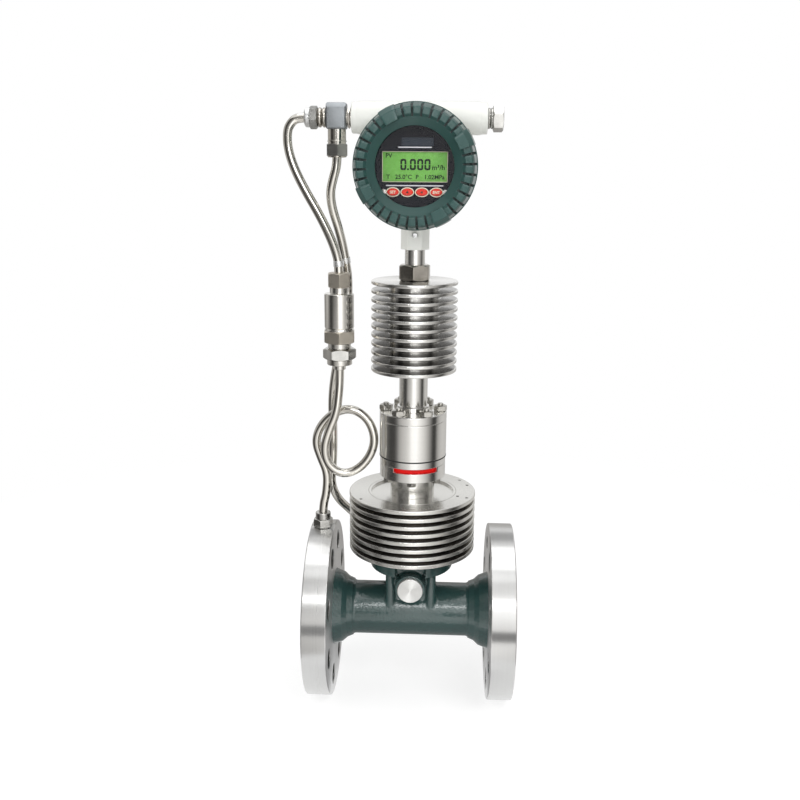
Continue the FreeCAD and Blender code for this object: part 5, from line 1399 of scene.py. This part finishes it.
def oval(x, z, width, height, steps=40):
    """Points round an ellipse."""
    angles = [2 * math.pi * step / steps for step in range(steps)]
    return [(x + width / 2 * math.cos(a), z + height / 2 * math.sin(a)) for a in angles]


print("print is", PRINT_THICK, "mm thick")

# %% [markdown]
# The display shows a reading of zero, with the temperature and pressure below it. Its figures are the
# usual seven bars with rounded outer corners, which for a zero are two halves with a gap between them.

# %% Display
FIGURE_WIDTH = 5.0
FIGURE_HEIGHT = 9.1
FIGURE_BAR = 1.55
FIGURE_GAP = 0.2
FIGURE_CORNER = 1.9
FIGURE_PLACES = (-9.55, -1.72, 4.35, 10.3)
FIGURE_Z = 1.8
SMALL_CAPS = 3.4


def zero_half(x, z, way):
    """Upper or lower half of a zero: way is 1 or -1."""
    edge = []
    for half, top, corner in ((FIGURE_WIDTH / 2, FIGURE_HEIGHT / 2, FIGURE_CORNER),
                              (FIGURE_WIDTH / 2 - FIGURE_BAR, FIGURE_HEIGHT / 2 - FIGURE_BAR,
                               FIGURE_CORNER - FIGURE_BAR * 0.7)):
        side = [(-half, FIGURE_GAP)]
        for step in range(7):
            angle = math.pi - math.pi / 2 * step / 6
            side.append((corner - half + corner * math.cos(angle), top - corner + corner * math.sin(angle)))
        mirror = [(-px, pz) for px, pz in reversed(side)]
        edge.append(side + mirror)
    outline = edge[0] + edge[1][::-1]
    return [(x + px, z + way * pz) for px, pz in outline]


LCD_WIDTH = 54
LCD_HEIGHT = 24.6
lcd = Place("lcd_module")
lcd_mesh = softened(plate(bar(0, 0, lcd.size.x, lcd.size.z), lcd.low.y, lcd.size.y), 0.3)
show("lit_display", lcd_mesh, display_green, "lcd_module")

ink_front = lcd.low.y - PRINT_THICK
ink = [plate(zero_half(x, FIGURE_Z, way), ink_front) for x in FIGURE_PLACES for way in (1, -1)]
ink.append(plate(bar(-5.7, -2.0, 1.5, 1.5), ink_front))
for words, x, z, height in (("PV", -24.3, 7.2, SMALL_CAPS), ("m³/h", 13.9, -2.4, 4.0),
                            ("T", -23.6, -9.8, SMALL_CAPS), ("25.0°C", -16.3, -9.8, SMALL_CAPS),
                            ("P", 0.6, -9.8, SMALL_CAPS), ("1.02MPa", 7.6, -9.8, SMALL_CAPS)):
    ink.append(lettering(words, x, z, height, ink_front))
trim("display_figures", joined(*ink), display_ink, "lcd_module")

# A pale frame round the display: painted highlight on the edge of its bezel.
EDGE_HIGHLIGHT_BAR = 0.45
edge_highlight_bars = [bar(0, way * (LCD_HEIGHT - EDGE_HIGHLIGHT_BAR) / 2, LCD_WIDTH, EDGE_HIGHLIGHT_BAR) for way in (1, -1)]
edge_highlight_bars += [bar(way * (LCD_WIDTH - EDGE_HIGHLIGHT_BAR) / 2, 0, EDGE_HIGHLIGHT_BAR, LCD_HEIGHT) for way in (1, -1)]
edge_highlight_mesh = joined(*(plate(corners, ink_front) for corners in edge_highlight_bars))
trim("display_edge", edge_highlight_mesh, cream_print_and_highlight, "lcd_module")

# %% [markdown]
# The panel keeps its solid, with a moulded finish. The print lies on its face: two light lines, and a
# bare plate where a maker would put a name.

# %% Panel print
panel_front = Place("display_panel").low.y
panel_face = panel_front - PRINT_THICK
lines = [plate(bar(0, -15.1, 47.4, 0.9), panel_face), plate(bar(0, 15.5, 27.4, 0.9), panel_face)]
trim("panel_lines", joined(*lines), print_white, "display_panel")
trim("bare_plate", plate(bar(2.0, 20.0, 26.0, 6.4), panel_face), plate_blue, "display_panel")

# %% [markdown]
# Each key is a low dome of red rubber that moves by itself, with a cream ring printed round it on the panel.
# The ring is made light and wide, so it is also a painted highlight on the key's edge. The legend rides on
# the key.

# %% Keys
KEY_WIDTH = 9.6
KEY_HEIGHT = 6.0
KEY_RING = 1.8
KEY_GAP = 0.3
DOME = ((1.0, 0.0), (1.0, 0.55), (0.95, 0.82), (0.84, 0.97), (0.0, 1.0))
LEGEND_HEIGHT = 2.2
ARROW_REACH = 1.3
legend_z = Place("set_key").middle.z - HEAD_Z


def key_dome(place):
    """A domed oval at its solid's place."""
    middle, back = place.middle, place.high.y
    rings = [[(middle.x, back, middle.z)]]
    for share, rise in DOME:
        front = back + (place.low.y - back) * rise
        if share:
            edge = oval(0, 0, KEY_WIDTH * share, KEY_HEIGHT * share, 48)
            rings.append([(middle.x + x, front, middle.z + z) for x, z in edge])
        else:
            rings.append([(middle.x, front, middle.z)])
    return skin(rings)


def triangle(x, z, reach, bearing):
    """A small triangle that points the way of its bearing."""
    corners = [math.radians(bearing + turn) for turn in (0, 120, 240)]
    return [(x + reach * math.cos(a), z + reach * math.sin(a)) for a in corners]


key_rings = []
for node, legend in (("set_key", "SET"), ("up_key", 90), ("shift_key", 180), ("enter_key", "ENT")):
    key = Place(node)
    key_x = key.middle.x - NECK_X
    legend_front = key.low.y - PRINT_THICK
    show("red_" + node, key_dome(key), key_red, node)
    if isinstance(legend, str):
        words = lettering(legend, 0, legend_z - LEGEND_HEIGHT / 2, LEGEND_HEIGHT, legend_front, 0.05)
        wide = max(vert.co.x for vert in words.vertices) - NECK_X
        trim(node + "_legend", moved(words, key_x - wide / 2), cream_print_and_highlight, node)
    else:
        arrow = plate(triangle(key_x, legend_z, ARROW_REACH, legend), legend_front)
        trim(node + "_legend", arrow, display_ink, node)
    # The cream ring is printed, and made light and wide as a painted highlight on the key's edge.
    outer = oval(key_x, legend_z, KEY_WIDTH + KEY_RING, KEY_HEIGHT + KEY_RING)
    inner = oval(key_x, legend_z, KEY_WIDTH + KEY_GAP, KEY_HEIGHT + KEY_GAP)
    edges = ((outer, panel_front), (outer, panel_face), (inner, panel_face), (inner, panel_front))
    key_rings.append(skin([[(NECK_X + x, y, HEAD_Z + z) for x, z in edge] for edge, y in edges]))
trim("key_rings", joined(*key_rings), cream_print_and_highlight, "display_panel")

# %% [markdown]
# Two pan-head screws hold the panel. A cross is cut into each head.

# %% Panel screws
SCREW_SPREAD = 51.2
SHANK_RADIUS = 1.3
PAN_RADIUS = 2.4
PAN_HEIGHT = 1.2
CROSS_DEPTH = 0.7
CROSS_ARC = 14
panel_screw = Place("panel_screws")
reach = panel_screw.size.y
pan_foot = reach - PAN_HEIGHT
pan_profile = [(0, 0), (SHANK_RADIUS, 0), (SHANK_RADIUS, pan_foot), (PAN_RADIUS, pan_foot),
               (PAN_RADIUS, reach - 0.5, 0.4), (0, reach)]
cross_outline = [(0.001, reach - CROSS_DEPTH), (3, reach - CROSS_DEPTH), (3, reach + 1), (0.001, reach + 1)]
screws = []
for side in (-1, 1):
    slots = [moved(wedge(cross_outline, CROSS_ARC, 1), turn=spun(turn)) for turn in (20, 110, 200, 290)]
    head = drilled(lathe(pan_profile, 40), *slots)
    screw_x = NECK_X + side * SCREW_SPREAD / 2
    screws.append(moved(head, screw_x, panel_screw.high.y, panel_screw.middle.z, FRONT))
show("cross_panel_screws", joined(*screws), fastener_steel, "panel_screws")

# %% [markdown]
# The cable arm ends in a tee, a blasted block with broken edges. A cube is cut along planes, one for each of
# its edges, and the two top edges at front and back are cut wider.

# %% Tee
TEE_SIZE = Vector((17, 18, 21.8))
TEE_FOOT = 9.5
TEE_EASE = 1.2
TEE_CROWN = 4.0
lower_gland = Place("lower_gland_nut")
tee_x = lower_gland.middle.x
tee_left = tee_x - TEE_SIZE.x / 2
tee_right = tee_x + TEE_SIZE.x / 2
tee_bottom = ARM_Z - TEE_FOOT


def eased_block(size, ease, crown):
    """A block about the origin with flats cut on its edges, wider ones at the top of its front and back."""
    shape = bmesh.new()
    bmesh.ops.create_cube(shape, size=1.0, matrix=Matrix.Diagonal((*size, 1)))
    ways = [Vector(way) for way in itertools.product((-1, 0, 1), repeat=3) if way.count(0) == 1]
    for way in ways:
        edge = sum(abs(part) * length / 2 for part, length in zip(way, size))
        depth = crown if way.z > 0 and way.y else ease
        whole = shape.verts[:] + shape.edges[:] + shape.faces[:]
        cut = bmesh.ops.bisect_plane(shape, geom=whole, plane_co=way * (edge - depth) / 2, plane_no=way,
                                     clear_outer=True)["geom_cut"]
        rim = [part for part in cut if isinstance(part, bmesh.types.BMEdge)]
        bmesh.ops.edgenet_fill(shape, edges=rim)
    return to_mesh(shape)


tee_block = softened(eased_block(TEE_SIZE, TEE_EASE, TEE_CROWN), 0.3)
show("blasted_tee", moved(tee_block, tee_x, 0, tee_bottom + TEE_SIZE.z / 2), tee_zinc, "tee_fitting")

# %% [markdown]
# A small hexagon joins the tee to the arm, and a nipple with two rounded rings joins its gland. A polished
# branch goes down from it.

# %% Nipples and branch
RING_SHARE = 0.08
RING_EASE = 0.41
BRANCH_RADIUS = 7.9
BRANCH_BEAD = 8.3
ARM_CORE = 6.2
ARM_HEX_GAP = 0.8


def ringed_neck(length, radius, core):
    """A nipple with two rounded rings, from 0 to its length."""
    half = length / 2
    ease = half * RING_EASE
    outline = [(0, 0)]
    for foot in (0, half):
        outline += [(core, foot), (radius, foot + half * RING_SHARE, ease),
                    (radius, foot + half * (1 - RING_SHARE), ease), (core, foot + half)]
    return lathe(outline + [(0, length)], 64)


side_gland = Place("side_gland_nut")
branch_foot = lower_gland.high.z
branch_length = tee_bottom - branch_foot
branch = turned(0, [(BRANCH_RADIUS, 0), (BRANCH_RADIUS, 1.4), (BRANCH_BEAD, 1.6, 0.2),
                    (BRANCH_BEAD, 2.6, 0.2), (BRANCH_RADIUS, 2.8), (BRANCH_RADIUS, branch_length)], 64)
arm_gap = housing.low.x - tee_right
arm_hex = hexagon(15.6, ARM_HEX_GAP, arm_gap - ARM_HEX_GAP, bearing=8)
arm_core = turned(0, [(ARM_CORE, 0), (ARM_CORE, arm_gap)], 64)
gland_neck = ringed_neck(tee_left - side_gland.high.x, 8.2, 5.4)
necks = [moved(joined(arm_hex, arm_core), tee_right, 0, ARM_Z, RIGHT),
         moved(gland_neck, side_gland.high.x, 0, ARM_Z, RIGHT)]
trim("ringed_nipples", joined(*necks), fitting_steel, "tee_fitting")
trim("polished_branch", moved(branch, tee_x, 0, branch_foot), tube_steel, "tee_fitting")

# %% [markdown]
# The glands are hexagons with a rounded nose where the tube comes out. The other end of the arm is closed by
# a plug with a large hexagon.

# %% Glands and blanking plug
GLAND_FLATS = 17.5
GLAND_LENGTH = 11.4
TUBE_HOLE = 4.1


def gland_nose(flats, hex_length, nose, bore):
    """The rounded nose of a gland nut, up to the mouth of the tube."""
    foot = hex_length - 0.5
    top = hex_length + nose
    ease = min(1.0, nose * 0.3)
    return turned(bore, [(flats * 0.47, foot), (flats * 0.46, hex_length + nose * 0.7, ease),
                         (flats * 0.36, top, ease)], HEX_STEPS)


for name, bearing, foot, pointing, hex_length, nose_finish in (
        ("side_gland", 14, (side_gland.high.x, 0, ARM_Z), LEFT, 6.8, nose_zinc),
        ("lower_gland", 22, (tee_x, 0, lower_gland.high.z), DOWN, 10.2, fitting_steel)):
    nut_mesh = hexagon(GLAND_FLATS, 0, hex_length, TUBE_HOLE, bearing)
    show(name, moved(nut_mesh, *foot, pointing), gland_zinc, name + "_nut")
    nose_mesh = gland_nose(GLAND_FLATS, hex_length, GLAND_LENGTH - hex_length, TUBE_HOLE)
    trim(name + "_nose", moved(nose_mesh, *foot, pointing), nose_finish, name + "_nut")

ENTRY_NECK = 4.3
entry_end = Place("blanking_plug").high.x
entry_x = Place("plug_seal").low.x
plug_head = hexagon(20, ENTRY_NECK, entry_end - entry_x, bearing=14)
plug_neck = ringed_neck(ENTRY_NECK + 0.4, 8.6, 6.95)
blank_mesh = moved(joined(plug_head, plug_neck), entry_x, 0, ARM_Z, RIGHT)
show("blanking_hexagon", blank_mesh, nut_steel, "blanking_plug", "plug_seal")

# %% [markdown]
# The transmitter is a polished barrel on a large hexagon. Below it a union nut holds the tail of the
# siphon, and a small fitting on the flange's rim takes the siphon's other end.

# %% Transmitter and its fittings
HEX_FOOT = 258.2
BARREL_FOOT = 269.8
BARREL_TOP = 302.6
BARREL_RADIUS = 13.15
COLLAR_RADIUS = 10.3
TOP_RADIUS = 8.25
TAIL_RADIUS = 11.3
TAIL_SPOUT = 5.5
press = Place("pressure_transmitter")
siphon_tail = Place("siphon_tail")
collar = turned(0, [(COLLAR_RADIUS, press.low.z, 0.4), (COLLAR_RADIUS, HEX_FOOT + 1)], 96)
barrel = turned(0, [(BARREL_RADIUS, BARREL_FOOT - 1), (BARREL_RADIUS, BARREL_FOOT + 0.6, 0.4),
                    (BARREL_RADIUS - 0.55, BARREL_FOOT + 1.6), (BARREL_RADIUS, BARREL_FOOT + 2.6, 0.4),
                    (BARREL_RADIUS, BARREL_TOP, 0.9), (TOP_RADIUS, BARREL_TOP, 0.5),
                    (TOP_RADIUS, press.high.z)])
show("polished_transmitter", moved(joined(collar, barrel), LINE_X), line_steel, "pressure_transmitter")
press_hex = moved(hexagon(26.6, HEX_FOOT, BARREL_FOOT, bearing=35), LINE_X)
trim("transmitter_hexagon", press_hex, hex_steel, "pressure_transmitter")
upright_nut("transmitter_top_gland", "transmitter_gland", 19, TUBE_HOLE, 38, LINE_X, hex_steel)
upright_nut("union_hexagon", "union_nut", 26, TUBE_HOLE, 8, LINE_X, nut_steel)
tail_foot = siphon_tail.low.z
tail_step = tail_foot + 4.6
tail_mesh = turned(TUBE_HOLE, [(TAIL_SPOUT, tail_foot, 0.6), (TAIL_SPOUT, tail_step, 0.4),
                               (TAIL_RADIUS, tail_step, 0.8), (TAIL_RADIUS, siphon_tail.high.z, 0.4)], 96)
show("siphon_tail_piece", moved(tail_mesh, LINE_X), line_steel, "siphon_tail")

TAP_HEX_TOP = 90.1
TAP_RADIUS = 7.1
tap_hex = hexagon(16, SPOT_LEVEL, TAP_HEX_TOP)
tap_collar = lathe([(0, TAP_HEX_TOP - 1), (TAP_RADIUS, TAP_HEX_TOP - 1), (TAP_RADIUS, tap.high.z, 0.9),
                    (TUBE_HOLE, tap.high.z), (TUBE_HOLE, TAP_HEX_TOP), (0, TAP_HEX_TOP)], 64)
tap_mesh = moved(joined(tap_hex, tap_collar), tap_x, turn=spun(20))
show("siphon_flange_fitting", tap_mesh, nut_steel, "siphon_fitting")

# %% [markdown]
# The siphon and the two conduits are rigid tubes, held in fittings at both ends. Their routes are the
# listed bends of the solids. A smooth NURBS line follows those bends, and a tree of Geometry Nodes
# draws the tube along it.

# %% Tubes
TUBE_RADIUS = 4.0
TUBE_GRIP = 6.0
TUBE_SIDES = 48
UP = (0, 0, 1)
tube_tree, given, out = new_group("tube along a route", [
    ("Geometry", "Geometry"), ("Radius", "Float"), ("Sides", "Int"), ("Finish", "Material")])
section = new_node(tube_tree, "GeometryNodeCurvePrimitiveCircle",
                   {"Resolution": given["Sides"], "Radius": given["Radius"]})[0]
drawn = new_node(tube_tree, "GeometryNodeCurveToMesh",
                 {"Curve": given["Geometry"], "Profile Curve": section, "Fill Caps": True})[0]
ending(tube_tree, drawn, given["Finish"], out)


def tube(name, node, start, leave, bends, end, arrive):
    """A tube from one mouth to the other, leaving each straight."""
    start, leave, end, arrive = (Vector(value) for value in (start, leave, end, arrive))
    route = [start - leave * TUBE_GRIP, start + leave * TUBE_GRIP]
    route += [Vector((NECK_X + x, y, z)) for x, y, z in bends]
    route += [end + arrive * TUBE_GRIP, end - arrive * TUBE_GRIP]
    curve = bpy.data.curves.new("route", "CURVE")
    curve.dimensions = "3D"
    curve.resolution_u = 20
    line = curve.splines.new("NURBS")
    line.points.add(len(route) - 1)
    for knot, place in zip(line.points, route):
        knot.co = (*place, 1)
    line.order_u = 3
    line.use_endpoint_u = True
    mesh = grown(curve, tube_tree, Radius=TUBE_RADIUS, Sides=TUBE_SIDES, Finish=tube_steel)
    return show(name, smoothed(mesh), tube_steel, node)


tube("bent_siphon", "siphon_tube", (LINE_X, 0, tail_foot), (0, 0, -1), [
    (-67.8, -1.6, 213), (-69.8, -4.2, 194), (-77.0, -5.0, 177), (-81.6, -5.0, 160),
    (-78.2, -5.0, 144.5), (-65.5, -4.6, 134.8), (-50.5, -3.4, 139.2), (-38.7, -1.6, 152.4),
    (-34.4, 0.6, 169.5), (-41.4, 2.8, 187.2), (-56.5, 4.4, 196.4), (-73.0, 5.4, 192),
    (-86.2, 5.4, 178.4), (-90.8, 5.4, 163), (-85.8, 4.8, 148), (-79.6, 3.6, 133.5),
    (-80.4, 1.6, 115)], (tap_x, 0, tap.high.z), UP)
tube("bent_signal_conduit", "signal_conduit", (side_gland.low.x, 0, ARM_Z), (-1, 0, 0), [
    (-106.5, 0, 448), (-110.3, 0, 441.3), (-110.2, 0, 427), (-105.3, 0, 410.5), (-95.5, 0, 391),
    (-84.0, 0, 371.5), (-74.8, 0, 353), (-68.8, 0, 337)], (LINE_X, 0, Place("transmitter_gland").high.z), UP)

# %% [markdown]
# The conduit of the temperature sensor goes down behind the sinks to a pocket in the rear boss. The pocket's
# mouth lies on a bearing from the neck, and the tube arrives along that bearing.

# %% Sensor conduit
WELL_TURN = math.radians(208)
WELL_MOUTH = 54.0
BOSS_Z = 36.0
well_way = Vector((math.sin(WELL_TURN), -math.cos(WELL_TURN), 0))
well_mouth = Vector((NECK_X, 0, BOSS_Z)) + well_way * WELL_MOUTH
tube("bent_sensor_conduit", "sensor_conduit", (tee_x, 0, lower_gland.low.z), (0, 0, -1), [
    (-71.5, 2.0, 402), (-74.6, 4.5, 390), (-73.4, 8.0, 376), (-67.4, 12.0, 356),
    (-63.6, 17.0, 336), (-60.6, 21.5, 312), (-62.2, 23.5, 284), (-67.4, 26.0, 254),
    (-74.2, 28.5, 226), (-77.8, 30.0, 198), (-77.0, 31.0, 168), (-77.6, 32.5, 138),
    (-80.2, 34.0, 113), (-74.5, 40.0, 95), (-64.0, 50.0, 80.5), (-53.5, 61.0, 65.5),
    (-42.5, 67.5, 50)], well_mouth, well_way)

# %% [markdown]
# A bright ferrule sits on each conduit near the transmitter.

# %% Ferrules
FERRULE_LENGTH = 5.2
FERRULE_RADIUS = 4.6


def ferrule(x, y, z, way):
    """A sleeve round a tube at a place along it."""
    mesh = tube_wall(TUBE_RADIUS - 0.2, FERRULE_RADIUS, -FERRULE_LENGTH / 2, FERRULE_LENGTH / 2, 0.4)
    turn = Vector(way).to_track_quat("Z", "Y").to_matrix().to_4x4()
    return moved(mesh, NECK_X + x, y, z, turn)


trim("signal_ferrule", ferrule(-67.2, 0, 328.5, (-0.05, 0, 1)), nose_zinc, "signal_conduit")
trim("sensor_ferrule", ferrule(-63.0, 18.0, 330, (-0.135, -0.195, 0.97)), nose_zinc, "sensor_conduit")

# %% [markdown]
# The temperature pocket at the back is a hexagon with a nut and keeps its solids' form, smoothed in a
# copy so that its round faces look round.

# %% Temperature pocket
show("pocket_hexagon", smoothed(welded_copy("temperature_probe")), nut_steel, "temperature_probe")
show("pocket_nut", smoothed(welded_copy("probe_nut")), nut_steel, "probe_nut")

# %% [markdown]
# The other solids keep their own meshes. They sit in the bore or behind the covers, and each gets the
# finish of its real material.

# %% Finishes of the kept solids
KEPT = {
    "bluff_bar": neck_steel, "sensor_probe": neck_steel, "front_cover_seal": seal_rubber,
    "rear_cover_seal": seal_rubber, "glass_ring": fastener_steel, "display_panel": panel_black,
    "keypad_mat": seal_rubber, "circuit_board": board_green, "spacers": terminal_brass,
    "terminal_block": terminal_plastic, "terminal_screws": terminal_brass,
}
for node, finish in KEPT.items():
    for slot in frame["nodes"][node].material_slots:
        slot.material = finish
print("kept solids", len(KEPT))
